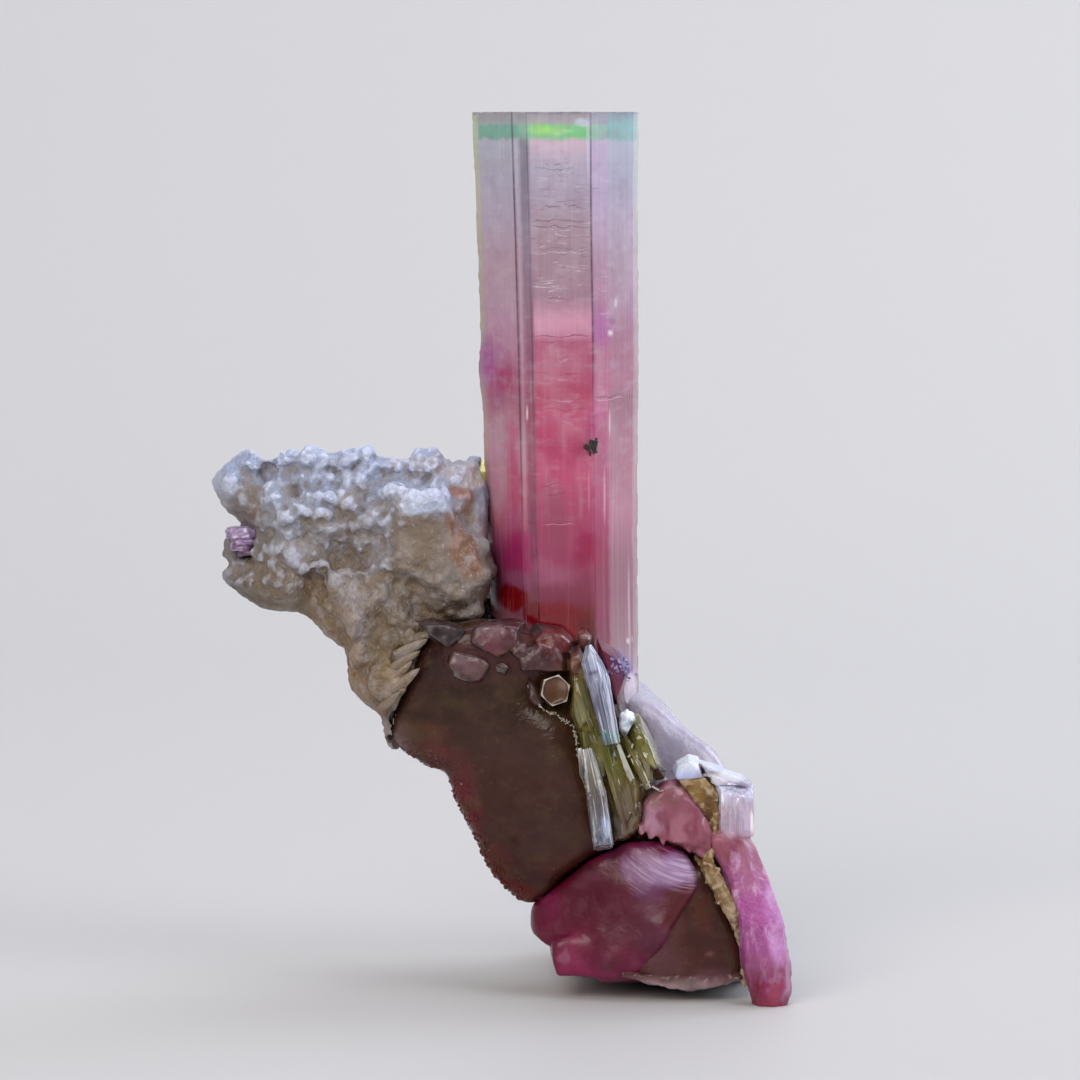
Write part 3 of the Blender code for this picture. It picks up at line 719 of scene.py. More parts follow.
# Schorl: black tourmaline, opaque and shiny.
BLACK_TOURMALINE = mineral("schorl_speck", 0.18, (
    dict(scale=(6.0, 1.0), range=(0.4, 0.7), tint=("#1e181d", 0.5), lift=0.02),
), ior=1.65, tint="#060506", coat=0.3)

# Fresh glassy bits that glint: quartz grains and tourmaline ends.
GLINT = mineral("glinting_quartz_grain", 0.05, (
    dict(scale=2.5, range=(0.5, 0.7), tint=("#a9a79b", 0.25)),
), clear=0.15, glow=0.1, glow_depth=0.2, coat=0.6)


# ---------------------------------------------------------------- the tall prism

PRISM_AXIS_Y = 7.0
PRISM_TOP = BOX_HIGH.z
PRISM_CORNERS = (
    (8.5, 0.6), (8.1, 1.8), (4.4, 6.6), (0.3, 7.2), (-4.3, 6.6), (-8.0, 1.6), (-8.5, 0.2), (-7.9, -1.0),
    (-4.4, -6.7), (-3.0, -7.4), (3.5, -7.3), (7.9, -1.4),
)
PRISM_WIDTHS = (  # height, middle in X, half width
    (29, 6.35, 7.45), (34.5, 6.3, 7.5), (40, 6.2, 7.5), (45, 6.0, 7.7), (52, 5.9, 7.8), (65, 5.75, 8.05),
    (77, 5.5, 8.2), (PRISM_TOP, 5.3, 8.5),
)
PRISM_HALF_WIDTH = 8.5  # of the section as drawn
PRISM_CREASES = ((-4.4, -6.7), (-3.0, -7.4), (3.5, -7.3))  # dark grooves beside the front face
CREASE_DEPTH = 0.16
RIB_WIDTHS = (0.3, 0.42, 0.6, 0.85, 1.1)
RIB_DEPTHS = (0.004, 0.024)
GROWTH_HEIGHTS = (0.4, 0.7, 0.9, 1.3, 2.0)  # of the flat bands in which the prism grew
GROWTH_FROM, GROWTH_TO = 25.0, 90
PRISM_FOOT = 33.6  # the height of the hidden foot in its middle
FOOT_SLOPES = (0.45, 0.70)  # how steeply it falls to the right, left and right of the middle
LOW_ROWS, CAP_ROWS = 130, 26  # rows of points below and above the start of the cap
FOOT_RINGS = (0, 0.5, 0.85)  # shares of the section in the rings that close the foot
TOP_RINGS = (0.985, 0.93, 0.8, 0.6, 0.35, 0.0)  # and in those that close the top
PRISM_CAP = 84.2  # above this the rows of points are close together, for the thin colour bands
PRISM_CHIPS = (  # centre, radius and depth of bites out of the edges and shallow flakes off the faces
    ((10.6, 0.9, 70.6), 0.7, 0.16), ((11.6, 1.6, 69.3), 0.6, 0.2), ((11.2, 1.4, 68.0), 0.5, 0.14),
    ((12.0, 2.4, 71.6), 0.6, 0.15), ((13.6, 6.4, 66.9), 0.5, 0.2), ((13.5, 6.5, 60.2), 0.4, 0.15),
    ((9.3, -0.3, 59.0), 0.5, 0.2), ((10.4, 0.6, 58.3), 0.9, 0.12), ((2.2, 0.1, 58.6), 0.5, 0.2),
    ((8.9, -0.2, 54.6), 0.7, 0.2), ((13.4, 6.3, 34.2), 0.5, 0.2), ((13.6, 6.4, 47.5), 0.45, 0.16),
    ((1.4, 0.5, 65.6), 0.4, 0.2), ((1.2, 0.4, 75.5), 0.35, 0.12), ((12.6, 4.2, 30.2), 0.8, 0.5),
)
PRISM_SWELL = ((-2.2, 6.4, 62.2), (2.2, 2.6, 3.4), (-0.32, -0.1, 0))  # the lump on the left edge


def prism_ring():
    """Round the prism: each point's place, its groove's depth and its rib's number."""
    chance = random.Random(4)
    ring, rib = [], 0
    for start, end in zip(PRISM_CORNERS, PRISM_CORNERS[1:] + PRISM_CORNERS[:1]):
        start, end = Vector(start), Vector(end)
        span = (end - start).length
        done = 0.0
        while done < span - 0.2:
            wide = min(chance.choice(RIB_WIDTHS), span - done)
            deep = chance.uniform(*RIB_DEPTHS)
            for share, depth in ((0, deep), (0.18, deep * 0.25), (0.5, 0), (0.82, deep * 0.25)):
                ring.append((start.lerp(end, (done + wide * share) / span), depth, rib))
            done += wide
            rib += 1
    for crease in PRISM_CREASES:
        nearest = min(range(len(ring)), key=lambda i: (ring[i][0] - Vector(crease)).length)
        ring[nearest] = (ring[nearest][0], CREASE_DEPTH, ring[nearest][2])
    return ring


def growth_steps():
    """The height at which each flat band starts, and how far its faces and its side edges step in."""
    chance = random.Random(9)
    steps, height = [], GROWTH_FROM
    while height < GROWTH_TO:
        steps.append((height, chance.uniform(0, 0.02), chance.uniform(0, 0.11)))
        height += chance.choice(GROWTH_HEIGHTS)
    return steps


def prism_width(z):
    """The middle in X at a height, and the width's share of the section as drawn."""
    heights, middles, halves = zip(*PRISM_WIDTHS)
    return np.interp(z, heights, middles), np.interp(z, heights, halves) / PRISM_HALF_WIDTH


def tall_prism():
    """The prism: rows of a ribbed ring, from a slanted foot inside the quartz to a notched flat top."""
    ring = prism_ring()
    steps = growth_steps()
    below, sides = len(FOOT_RINGS), LOW_ROWS + CAP_ROWS
    shares = [*FOOT_RINGS, *[1] * sides, *TOP_RINGS]
    chance = random.Random(2)
    notches = [chance.uniform(0, 0.2) ** 1.5 for _ in range(ring[-1][2] + 1)]

    def place(i, j):
        spot, depth, rib = ring[i]
        row = between(j - below, 0, sides - 1)
        on_top = j >= below + sides
        foot = PRISM_FOOT - FOOT_SLOPES[spot.x >= 0] * spot.x
        top = PRISM_TOP - notches[rib] * (0.6 * shares[j] ** 6 if on_top else 1.0)
        if row < LOW_ROWS:
            z = foot + (PRISM_CAP - foot) * row / LOW_ROWS
        else:
            z = PRISM_CAP + (top - PRISM_CAP) * (row - LOW_ROWS) / (CAP_ROWS - 1)
        if on_top:
            z -= 0.12 * (1 - shares[j]) + 0.06 * noise.noise(Vector((spot.x, spot.y, 3)) * shares[j])
        middle, wide = prism_width(z)
        _, step, nick = next(band for band in reversed(steps) if band[0] <= z or band is steps[0])
        fade = 0.6 + 0.5 * noise.noise(Vector((rib * 3.1, 0, z * 0.07)))
        at_side = between((abs(spot.x) - 7.6) / 0.8, 0, 1)
        inward = depth * fade + step + nick * at_side
        out = spot * (1 - inward / spot.length) * shares[j] * wide
        return Vector((middle + out.x, PRISM_AXIS_Y + out.y, z))

    mesh = skin(len(ring), len(shares), place)
    for centre, radius, depth in PRISM_CHIPS:
        inward = Vector((6.0 - centre[0], PRISM_AXIS_Y - centre[1], 0)).normalized()
        dent(mesh, centre, (radius, radius, radius), inward * depth)
    return dent(mesh, *PRISM_SWELL)


# Colour with height: green cap, lilac, pink, magenta, pale foot.
PRISM_ZONES = (  # the left face
    (88.3, "#a9a7ad"), (87.15, "#aeb6ba"), (86.9, "#86bcae"), (85.7, "#7fb8a4"), (85.35, "#bdc2d2"),
    (81.5, "#bbb7cb"), (77.6, "#beb0c5"), (73.6, "#c1a6b6"), (69.6, "#c09fb3"), (66.1, "#c291ac"),
    (61.6, "#b66d8a"), (58.6, "#b27386"), (55.6, "#bd8ea0"), (51.6, "#c48b9e"), (47.6, "#bf748a"),
    (45, "#9e556a"), (42, "#88435e"), (39, "#884d5e"), (35, "#ae818d"), (29, "#cdbac5"),
)
PRISM_COLUMNS = (  # left and right X, softness, colour with height
    (-4.0, -2.35, 0.25, (
        (88, "#c3d2b8"), (81, "#c6c4b2"), (75, "#bbb09f"), (66, "#b2a598"), (59, "#ae8488"), (52, "#c7a294"),
        (45, "#a86f7c"))),
    # the narrow facet beside the front face, painted darker and greyer than its neighbours as shade
    (1.75, 2.75, 0.35, (
        (88, "#a2a2a8"), (87.1, "#a9b5b2"), (86.8, "#93c4b0"), (85.8, "#8fb8a8"), (85.2, "#8f8d9d"),
        (80, "#938d9d"), (74, "#97879a"), (68, "#9b7a8b"), (64, "#97627a"), (58, "#a0586f"), (52, "#a0566c"),
        (47, "#864862"),
        (41, "#84455a"))),
    (2.75, 8.98, 0.12, (
        (88.2, "#aaa3ab"), (87.15, "#b6b6b9"), (86.95, "#96d39b"), (85.75, "#91d39d"), (85.4, "#d6c2d0"),
        (83, "#bcb5c7"), (80, "#b4a8bb"), (77, "#b19ca8"), (74, "#ac939e"), (70, "#a88898"),
        (67.6, "#d8a2b7"), (66.1, "#ce92a9"), (65.3, "#b66983"), (62, "#b8617d"), (60.2, "#b55570"),
        (58.4, "#c0617e"), (55, "#b54c6f"), (52, "#c2597b"), (50, "#b55775"), (47, "#a84d6b"),
        (44, "#a04866"), (41, "#8c455a"), (39.5, "#853f54"),
        (37.5, "#74121e"), (35.6, "#5c1a1a"), (33, "#572829"))),
    (8.98, 10.7, 0.12, (
        (88.2, "#a6a6b2"), (87.1, "#b0b1bc"), (86.9, "#a4c9b4"), (85.6, "#a6c2b4"), (85.25, "#c8b7ce"),
        (79.5, "#c0adc6"), (74, "#ba9bae"), (70, "#b98fa3"), (66.8, "#b7759c"), (64, "#b47088"),
        (60, "#bb718a"), (57.6, "#b25675"), (53, "#b05978"), (50, "#b45877"), (47, "#a63e64"),
        (44, "#9a2f55"), (41.5, "#913c56"), (38, "#8e3b55"),
        (35, "#8c4659"), (32, "#925764"))),
    (10.7, 13.7, 0.5, (
        (88.2, "#9aabb3"), (87, "#9ec3c4"), (85.6, "#9ac3bd"), (85.2, "#bdbece"), (81.5, "#b5b3c4"),
        (77.5, "#bcadbe"), (73.6, "#b8a4b2"), (67.6, "#b58ea0"), (64, "#af7b8d"), (61, "#b37c8f"),
        (59.6, "#a07180"), (56, "#af7c8c"), (52, "#b37e8c"), (48, "#b88092"), (43.5, "#9f707d"),
        (39.5, "#9d707d"), (35.5, "#a37e86"), (32.4, "#a892a4"),
        (30.4, "#d2c3d0"))),
    (13.7, 15, 0.25, (
        (88, "#bcd0bc"), (80, "#bcc0a8"), (72, "#b2a79c"), (60, "#ab8c8c"), (45, "#9c7c82"),
        (35, "#a8949a"))),
)
PRISM_PATCHES = (
    # brighter green spots in the cap
    ("#b0ee84", (4.3, -1, 86.5), (1.3, 3, 0.35), 0.8, 0.8),
    ("#7fd68e", (7.4, -1, 86.0), (1.4, 3, 0.35), 0.6, 0.7),
    ("#b4e8b0", (6.2, -1, 86.3), (1.0, 3, 0.2), 0.8, 0.6),
    # a painted bluish highlight at the top, left of the right crease
    ("#d9e4f6", (8.0, -1, 87.3), (0.9, 2, 0.35), 0.4, 0.6),
    # lump of violet on the left edge, and the dark pink blob in it
    ("#a8609a", (-1.6, 5.0, 63.2), (1.7, 5, 2.4), 0.6, 0.85),
    ("#ac3a6c", (0.0, 2.4, 61.4), (1.5, 3, 1.9), 0.6, 0.9),
    ("#a85880", (-0.8, 3.4, 59.6), (1.4, 4, 1.2), 0.7, 0.7),
    # bright pink column, left of the front face, and the pale one beside it
    ("#c795a7", (-1.2, 3, 51.4), (1.4, 4, 4.6), 0.2, 0.8),
    ("#c85c80", (0.9, 0.6, 54.6), (0.85, 3, 3.6), 0.5, 0.8),
    ("#c45478", (1.1, 0.6, 50.4), (0.8, 3, 3.4), 0.5, 0.8),
    # violet patch with flakes, and the deep pink one below it
    ("#b874a6", (10.3, 1, 66.9), (1.4, 2, 1.7), 0.6, 0.8),
    ("#b63e78", (9.7, 0, 58.2), (0.9, 2, 1.3), 0.6, 0.9),
    ("#ae4272", (9.2, 0, 56.6), (0.9, 2, 1.2), 0.6, 0.8),
    # magenta patches and the grey-pink column between them
    ("#aa3a6c", (1.5, 1, 45.2), (1.5, 4, 1.3), 0.6, 0.85),
    ("#a03266", (0.2, 1, 43.4), (1.9, 4, 1.3), 0.6, 0.8),
    ("#a8386c", (2.3, 1, 42.9), (0.9, 3, 1.1), 0.6, 0.75),
    ("#9a4c74", (-1.2, 3, 44.6), (1.4, 4, 1.8), 0.6, 0.7),
    ("#b05480", (1.0, 1, 47.4), (1.1, 4, 1.1), 0.7, 0.6),
    ("#a8688a", (1.0, 1, 41.4), (1.9, 4, 0.9), 0.5, 0.5),
    ("#9e1c58", (8.3, 0, 45.5), (0.85, 3, 1.0), 0.5, 0.9),
    ("#9a1854", (9.3, 0, 44.8), (0.8, 3, 1.3), 0.5, 0.9),
    ("#962052", (8.1, 0, 43.9), (0.8, 3, 0.7), 0.6, 0.8),
    ("#9c5a70", (5.0, -0.4, 49.4), (1.1, 2, 2.2), 0.8, 0.7),
    ("#965268", (5.3, -0.4, 46.4), (1.2, 2, 2.0), 0.8, 0.7),
    ("#b0708c", (5.2, -0.4, 41.9), (2.0, 2, 1.0), 0.7, 0.5),
    ("#aa6c84", (3.9, -0.4, 43.2), (0.9, 2, 0.9), 0.7, 0.45),
    # blood red at the foot
    ("#86081e", (0.8, 2.2, 39.5), (1.9, 6, 1.35), 0.14, 1.0),
    ("#7a0826", (3.4, 0, 38.0), (1.6, 2.5, 1.2), 0.2, 0.95),
    ("#84082c", (5.7, 0, 37.6), (2.2, 2.5, 1.7), 0.15, 0.95),
    ("#a0042c", (6.75, 0, 35.2), (0.85, 2.5, 1.7), 0.15, 1.0),
    ("#560c16", (4.0, 0, 34.4), (1.7, 2.5, 1.4), 0.6, 0.9),
    ("#9c5a60", (8.1, 0, 35.7), (0.9, 2, 1.1), 0.3, 0.7),
    # painted highlight on the pale foot at the right
    ("#e6dbe4", (12.8, 5, 30.6), (0.7, 4, 0.9), 0.3, 0.9),
    # the level top
    ("#93939c", (5.5, 7, 88.45), (40, 40, 0.3), 0.3, 0.9),
)
PRISM_LINES = (  # painted shade in the creases and chips, painted highlights that run straight up the faces, and painted glints on single bright flakes
    ("#594255", (1.12, 0.3, 66), (0.12, 1.2, 26), 0.4, 0.8),
    ("#c9b5c4", (1.42, 0, 63), (0.1, 1.2, 15), 0.5, 0.5),
    ("#6f5064", (2.72, 0, 58), (0.1, 1.2, 22), 0.5, 0.45),
    ("#4c3450", (9.0, -0.3, 72), (0.1, 1.0, 17), 0.35, 0.9),
    ("#8d5570", (9.0, -0.3, 48), (0.1, 1.0, 9), 0.5, 0.5),
    ("#d5daf4", (8.7, -0.3, 85), (0.16, 1.0, 3), 0.5, 0.55),
    ("#b97f93", (7.6, -0.3, 49.5), (0.07, 1.0, 2.2), 0.4, 0.6),
    ("#d39cad", (8.5, -0.3, 50.5), (0.07, 1.0, 2.6), 0.4, 0.6),
    ("#e3b7c2", (10.2, 1, 50), (0.1, 2, 3.0), 0.4, 0.6), ("#d9c3cc", (12.9, 4, 37), (0.12, 3, 6), 0.4, 0.6),
    ("#f6f2f6", (12.0, 2, 71.7), (0.2, 2, 0.25), 0.4, 0.9),
    ("#f6f2f6", (11.5, 2, 69.2), (0.14, 2, 0.5), 0.4, 0.8),
    ("#f6f2f6", (10.9, 2, 66.3), (0.3, 2, 0.2), 0.4, 0.8),
    ("#6e5a6a", (11.1, 2, 67.4), (0.3, 2, 0.35), 0.5, 0.6),
    ("#f0d5de", (10.8, 2, 57.2), (0.08, 2, 1.4), 0.4, 0.8),
    ("#efe6ea", (1.9, 0, 58.3), (0.08, 2, 0.7), 0.4, 0.8),
    ("#efe3ea", (12.9, 4, 35.0), (0.4, 3, 0.16), 0.4, 0.8),
)

PRISM_COLUMNS_MIDDLE = 5.5  # the X that the columns and lines are drawn about
PRISM_CRACK_MARKS = (  # middle in X, height and half length of the cracks of the front face
    (4.7, 82.6, 1.7), (9.3, 80.7, 0.5), (5.0, 78.9, 0.8), (7.0, 78.9, 0.5), (4.2, 77.4, 1.3),
    (6.6, 76.8, 2.2), (5.9, 74.5, 2.8), (3.9, 71.3, 0.9), (5.7, 69.9, 1.3), (5.9, 65.7, 3.0),
    (7.0, 62.3, 0.9), (3.9, 62.3, 0.5), (5.9, 58.7, 2.9), (5.0, 50.7, 1.25), (5.6, 47.2, 1.6),
)

prism = put("tall_prism", tall_prism(), ZONED_TOURMALINE, "zoned_tourmaline", "tourmaline_prism", sharp=24)
straight = points_of(prism)
middle, wide = prism_width(straight[:, 2])
straight[:, 0] = (straight[:, 0] - middle) / wide + PRISM_COLUMNS_MIDDLE
paint(prism, PRISM_ZONES, PRISM_PATCHES, drift=0.35, wave=0.9, columns=PRISM_COLUMNS, lines=PRISM_LINES,
      straight=straight)
mark(prism, "clouds", ((5.5, 7, 69), (40, 40, 20), 0.25, 1.0), drift=0.3)
mark(prism, "veils",
     ((5.9, -0.6, 76), (3.3, 1.3, 8.8), 0.12, 1.0), ((5.9, -0.6, 61), (3.3, 1.3, 4.5), 0.3, 0.5),
     ((11, 1.4, 70), (2.2, 2, 6), 0.4, 0.35), ((0, 3, 76), (1.6, 4, 8), 0.4, 0.12), drift=0.2)
mark(prism, "cracks", ((11.2, 1.8, 59.8), (2.3, 2.4, 0.8), 0.25, 1.0),
     *[((x, -0.4, z), (half, 1.6, 0.9), 0.25, 1.0) for x, z, half in PRISM_CRACK_MARKS], drift=0.1)

SPECK = (  # centre, sizes and lean of the bits of the black speck
    ((9.05, -0.3, 55.2), (0.42, 0.24, 0.46), 0.2), ((8.45, -0.35, 54.9), (0.34, 0.2, 0.24), 0.5),
    ((9.2, -0.3, 54.6), (0.24, 0.18, 0.3), -0.3), ((8.75, -0.35, 54.3), (0.1, 0.12, 0.24), 0),
    ((9.35, -0.3, 55.7), (0.12, 0.15, 0.16), 0.4),
)
speck = bmesh.new()
for centre, sizes, lean in SPECK:
    blade(speck, centre, sizes, Matrix.Rotation(lean, 3, "Y"))
bevel(speck, 0.03)
put("schorl_speck", speck, BLACK_TOURMALINE, "zoned_tourmaline")


# ---------------------------------------------------------------- quartz

FLAT_BROWN_FACE = (
    (14.5, 9.5), (17.5, 13.0), (20.4, 14.2), (21.8, 10.6), (23.4, 7.0), (24.2, 4.4), (24.0, 2.2), (21.8, 1.4),
    (18.3, 0.9), (14.4, 1.4), (11.6, 2.3), (12.4, 5.3),
)
FOOT_GROUND = (  # the brown glassy ground that the prism's foot is broken into
    (-6.6, 37.2), (-2.0, 37.8), (1.0, 37.2), (3.6, 36.2), (5.2, 34.9), (5.9, 33.6), (7.4, 32.8), (7.4, 31.5),
    (5.0, 31.2), (2.4, 30.8), (0.0, 31.4), (-2.0, 30.8), (-5.0, 31.0), (-6.8, 33.4),
)
QUARTZ_VOXEL = 0.36
LEDGE = ((6.5, -4.5, 13.4), (6, 4.0, 3.4))  # where the front is smoothest: centre and radii
SHOULDER = ((3.0, -3, 28.8), (7, 4, 3.6))
ALL_OVER = ((7, 5, 20), (90, 90, 90))
ROSE_HOLLOW = ((13.4, 0.8, 30.2), (2.2, 6, 3.8), (-0.5, 7.4, -1.5))  # centre, radii and push
ALBITE_HOLLOW = ((-1.4, 4.6, 38.4), (2.4, 4, 2.2), (0, 3.0, -1.6))
QUARTZ_BREAKS = (  # a point on each flat break, and the way out
    ((12.7, 8, 31), (1, 0, 0.5)), ((18.4, -6.2, 1.6), (-0.234, -0.19, -1)),
    ((18.4, -6.2, 1.6), (0.16, -0.19, -1)),
)
PINK_MARGIN = (
    (-9.3, 2.5, 24.4), (-6.3, 0.2, 23.1), (-4.3, -0.6, 20.6), (-2.8, -1.1, 16.5), (-2.0, -1.4, 14.8),
    (-0.3, -1.6, 11),
)
FROST_BANDS = (  # path, reach, number of grains, and their least and greatest half width
    (PINK_MARGIN, 1.0, 420, (0.05, 0.16)),
    (((-1.5, -1, 13.5), (0.6, -2, 11.2), (2.6, -2.4, 9.6)), 1.3, 140, (0.05, 0.16)),
    (((-4.6, 0, 23.6), (-1.5, -1, 19.5), (0.5, -2, 16.2)), 1.4, 50, (0.04, 0.10)),
)

# Smoky quartz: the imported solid, with the flat brown face and the prism's ground fused on, and flat breaks.
quartz = join(cad_copy("smoky_quartz"), chip(FLAT_BROWN_FACE, -2.8, -6.0, 0.93, 0.2),
              chip(FOOT_GROUND, 0.6, -2.4, 0.8, 0.3))
quartz = ease(ease(fused(quartz, QUARTZ_VOXEL, 4), *LEDGE, 160), *SHOULDER, 60)
quartz = slice_off(dent(quartz, *ROSE_HOLLOW), *QUARTZ_BREAKS)
quartz = fused(dent(quartz, *ALBITE_HOLLOW), QUARTZ_VOXEL, 2)
quartz = relief(ease(quartz, *ALL_OVER, 14), (0.3, 6.0), (0.08, 2.2), (0.02, 0.7), grow=0.3)

# Pink frost: small grains that stick out of the quartz's left margin.
frost = bmesh.new()
chance = random.Random(17)
for path, reach, count, sizes in FROST_BANDS:
    strew(frost, quartz, path, reach, count, sizes, chance)
bevel(frost, 0.02)
smoky = put("smoky_quartz_body", quartz, SMOKY_QUARTZ, "smoky_quartz", "smoky_quartz", sharp=50)
paint(smoky, (
    (0, "#5e4044"), (3, "#523430"), (6, "#50322a"), (9, "#4e3228"), (12, "#482822"), (15, "#4a3028"),
    (18, "#4c3428"), (22, "#4f382a"), (26, "#483424"), (30, "#44301e"), (34, "#40281e"), (40, "#402a26"),
), (
    ("#6d3640", (-4.2, -1, 20.5), (1.6, 4, 3.2), 0.5, 0.8),
    ("#6d333d", (-2.6, -1, 16.2), (1.3, 4, 3.2), 0.5, 0.8),
    ("#673940", (-7.4, 0, 23.6), (2.4, 4, 0.9), 0.5, 0.8),
    ("#897778", (-10.4, 2, 25.4), (1.6, 5, 1.6), 0.5, 0.8), ("#654a43", (-8.4, 1, 25.8), (2.6, 4, 1.5)),
    ("#642625", (-0.6, -1, 12.6), (2.2, 5, 2.0), 0.35, 0.8),
    ("#672521", (1.8, -1, 10.2), (1.8, 5, 1.2), 0.4, 0.8),
    ("#60403d", (6.2, -4.5, 13.6), (3.4, 2, 1.2), 0.6, 0.6),
    ("#623b2a", (19.8, -5, 9.4), (1.6, 3, 2.6), 0.4, 0.7),
    ("#84605e", (20.2, -6, 4.8), (0.5, 3, 0.4), 0.6, 0.8),
    ("#6d4e54", (15.6, -6, 4.8), (2.0, 3, 2.6), 0.5, 0.8),
    ("#68494d", (16.6, -6, 8.4), (1.0, 3, 2.0), 0.6, 0.7), ("#72555c", (18, -5, 1.6), (7, 4, 1.4), 0.5, 0.8),
    ("#4d3d1c", (7, -3, 28.6), (3.6, 4, 3.4)), ("#4c3a1e", (1, -3, 31), (3.0, 4, 1.6), 0.6, 0.5),
    ("#41281a", (-5.6, -1, 35.2), (1.6, 3, 1.0), 0.4, 0.8),
    ("#5e4246", (-1.0, -2, 34.8), (5.4, 4, 2.6), 0.5, 0.8),
    ("#54363a", (4.4, -2, 33.8), (2.8, 4, 1.8), 0.5, 0.8), ("#564030", (-3.4, -2, 31.8), (2.6, 4, 0.8)),
    ("#6d514d", (-3, 12, 30), (9, 6, 12), 0.5, 0.5),
), drift=1.2, wave=4)
frost = put("pink_frost", frost, SMOKY_QUARTZ, "lavender_grain", sharp=20)
paint(frost, ((9, "#6e2e28"), (13, "#642a2c"), (17, "#6a343a"), (21, "#6e3c44"), (25, "#7a565e")),
      drift=1.2, wave=0.5)

# Milky quartz, which reaches far back so that the group stands on its own.
PALE_VOXEL = 0.5
PALE_BREAKS = (((6.4, 10, 4), (-1, 0, -0.3)), ((10, 6, 1.1), (0, -0.17, -1)))
pale = slice_off(fused(cad_copy("pale_quartz"), PALE_VOXEL, 3), *PALE_BREAKS)
pale = relief(fused(pale, PALE_VOXEL, 1), (0.4, 5.0), (0.12, 1.6), grow=0.3)
pale = put("milky_quartz_back", pale, PALE_QUARTZ, "pale_quartz", "pale_quartz", sharp=50)
paint(pale, ((0, "#7e676b"), (10, "#8f7980"), (18, "#a5949f"), (23, "#b3acbe"), (28, "#bab4ca")), (
    ("#b4a0a8", (13, 8, 26), (3, 5, 3), 0.5, 0.5),
), drift=1.5, wave=4)


# ---------------------------------------------------------------- albite


def upper_share(spot):
    """1 in the upper, rounded part of the mass, 0 in the lower, bladed one."""
    return between((spot.z - 41 - 0.25 * (spot.x + 12)) / 4 + 0.5, 0, 1)


TABLET_LEFT, TABLET_RIGHT, TABLET_LOW, TABLET_HIGH = -11.8, -4.4, 42.4, 50.2


def rough_share(spot, out):
    """How strongly grains show: hardly on the tablet's face, the knob and the smooth under-surface."""
    share = 1.0
    if TABLET_LEFT < spot.x < TABLET_RIGHT and TABLET_LOW < spot.z < TABLET_HIGH and spot.y < 2.2:
        inset = min(spot.x - TABLET_LEFT, TABLET_RIGHT - spot.x, spot.z - TABLET_LOW, TABLET_HIGH - spot.z)
        share = between(1 - inset / 1.2, 0.12, 1)
    if spot.x > -4.5 and spot.y < 7:  # the end beside the prism
        share = min(share, between((-2.2 - spot.x) / 2.3, 0.2, 1))
    if spot.x < -24.6 and 45.5 < spot.z < 53.2:  # the knob
        share = min(share, 0.3)
    if out.z < -0.2 and out.y > -0.8:  # the under-surface
        share = min(share, between(1 + (out.z + 0.2) * 2.5, 0.2, 1))
    return share


def feather(foot, tip, wide):
    """A flat pointed blade with a low keel, from foot to tip."""
    foot, tip = Vector(foot), Vector(tip)
    aside = (tip - foot).normalized().cross(Vector((0, 1, 0))) * wide
    points = [tip]
    for share, width in ((-0.2, 0.9), (0.2, 1.0), (0.55, 0.85), (0.82, 0.5)):
        middle = foot.lerp(tip, share)
        for side, depth in ((-1, 0.1), (1, 0.2), (0.35, -0.22), (-0.6, 0.9), (0.7, 0.9)):
            points.append(middle + aside * width * side + Vector((0, depth, 0)))
    return hull(points, 0.04)


ALBITE_GRAINS = (  # depth, width and height of the grains, and their share below and above
    (0.95, 3.6, 3.2, 0.0, 1.0), (0.38, 1.5, 1.4, 0.4, 1.0), (0.40, 2.0, 2.8, 1.0, 0.0),
    (0.24, 0.8, 0.85, 1.0, 1.0),
)


def grain_share(low, high):
    """The share of a set of grains at a point, from its share in the lower and in the upper part."""
    return lambda spot, out: rough_share(spot, out) * (low + (high - low) * upper_share(spot))


ALBITE_FILL = (  # where the mass reaches the prism and the quartz, and the knobs along its crest
    ((-9.4, 1.8, 34.5), (2.0, 1.6, 3.2)), ((-4.6, 3.4, 38.2), (3.0, 2.2, 1.3)),
    ((-8.0, 2.4, 36.8), (2.4, 1.8, 1.4)), ((-4.2, 6.0, 45.0), (2.2, 3.0, 4.6)),
    ((-4.4, 6.4, 50.0), (2.4, 3.0, 2.4)), ((-4.0, 5.0, 41.0), (1.6, 2.6, 2.4)),
    ((-2.7, 5.2, 46.0), (1.5, 2.2, 5.0)), ((-2.7, 6.2, 49.8), (1.5, 2.4, 2.4)),
    ((-11.6, 0.8, 31.6), (2.0, 1.4, 2.6)), ((-13.3, 3.8, 53.7), (1.5, 1.8, 1.7)),
    ((-15.8, 3.8, 53.4), (1.4, 1.8, 1.3)), ((-22.3, 3.8, 53.5), (1.4, 1.8, 1.7)),
    ((-8.1, 4.2, 53.2), (2.4, 2.0, 1.6)), ((-25.0, 4.4, 53.1), (1.6, 1.8, 1.5)),
    ((-19.4, 3.8, 53.4), (1.8, 1.8, 1.4)), ((-4.8, 5.0, 52.2), (2.0, 2.2, 1.1)),
    ((-11.0, 3.8, 53.0), (1.4, 1.6, 1.2)),
)
ALBITE_SLAB = (
    (-16.3, 40.4), (-15.4, 41.3), (-14.5, 40.6), (-14.0, 38.6), (-14.1, 36.4), (-15.0, 35.2), (-15.9, 36.2),
    (-16.5, 38.4),
)
ALBITE_FEATHERS = (  # foot, tip and half width of the blades that reach over the quartz
    ((-11.2, -0.2, 30.3), (-8.2, -1.3, 32.9), 0.62), ((-11.0, 0.0, 31.4), (-9.0, -1.1, 33.6), 0.5),
    ((-10.6, -0.2, 33.0), (-8.2, -1.1, 34.6), 0.5), ((-10.2, -0.2, 34.2), (-7.4, -1.2, 35.8), 0.6),
    ((-9.4, -0.3, 35.6), (-6.4, -1.2, 36.5), 0.5), ((-12.2, 0.0, 28.6), (-10.2, -0.9, 30.5), 0.5),
)

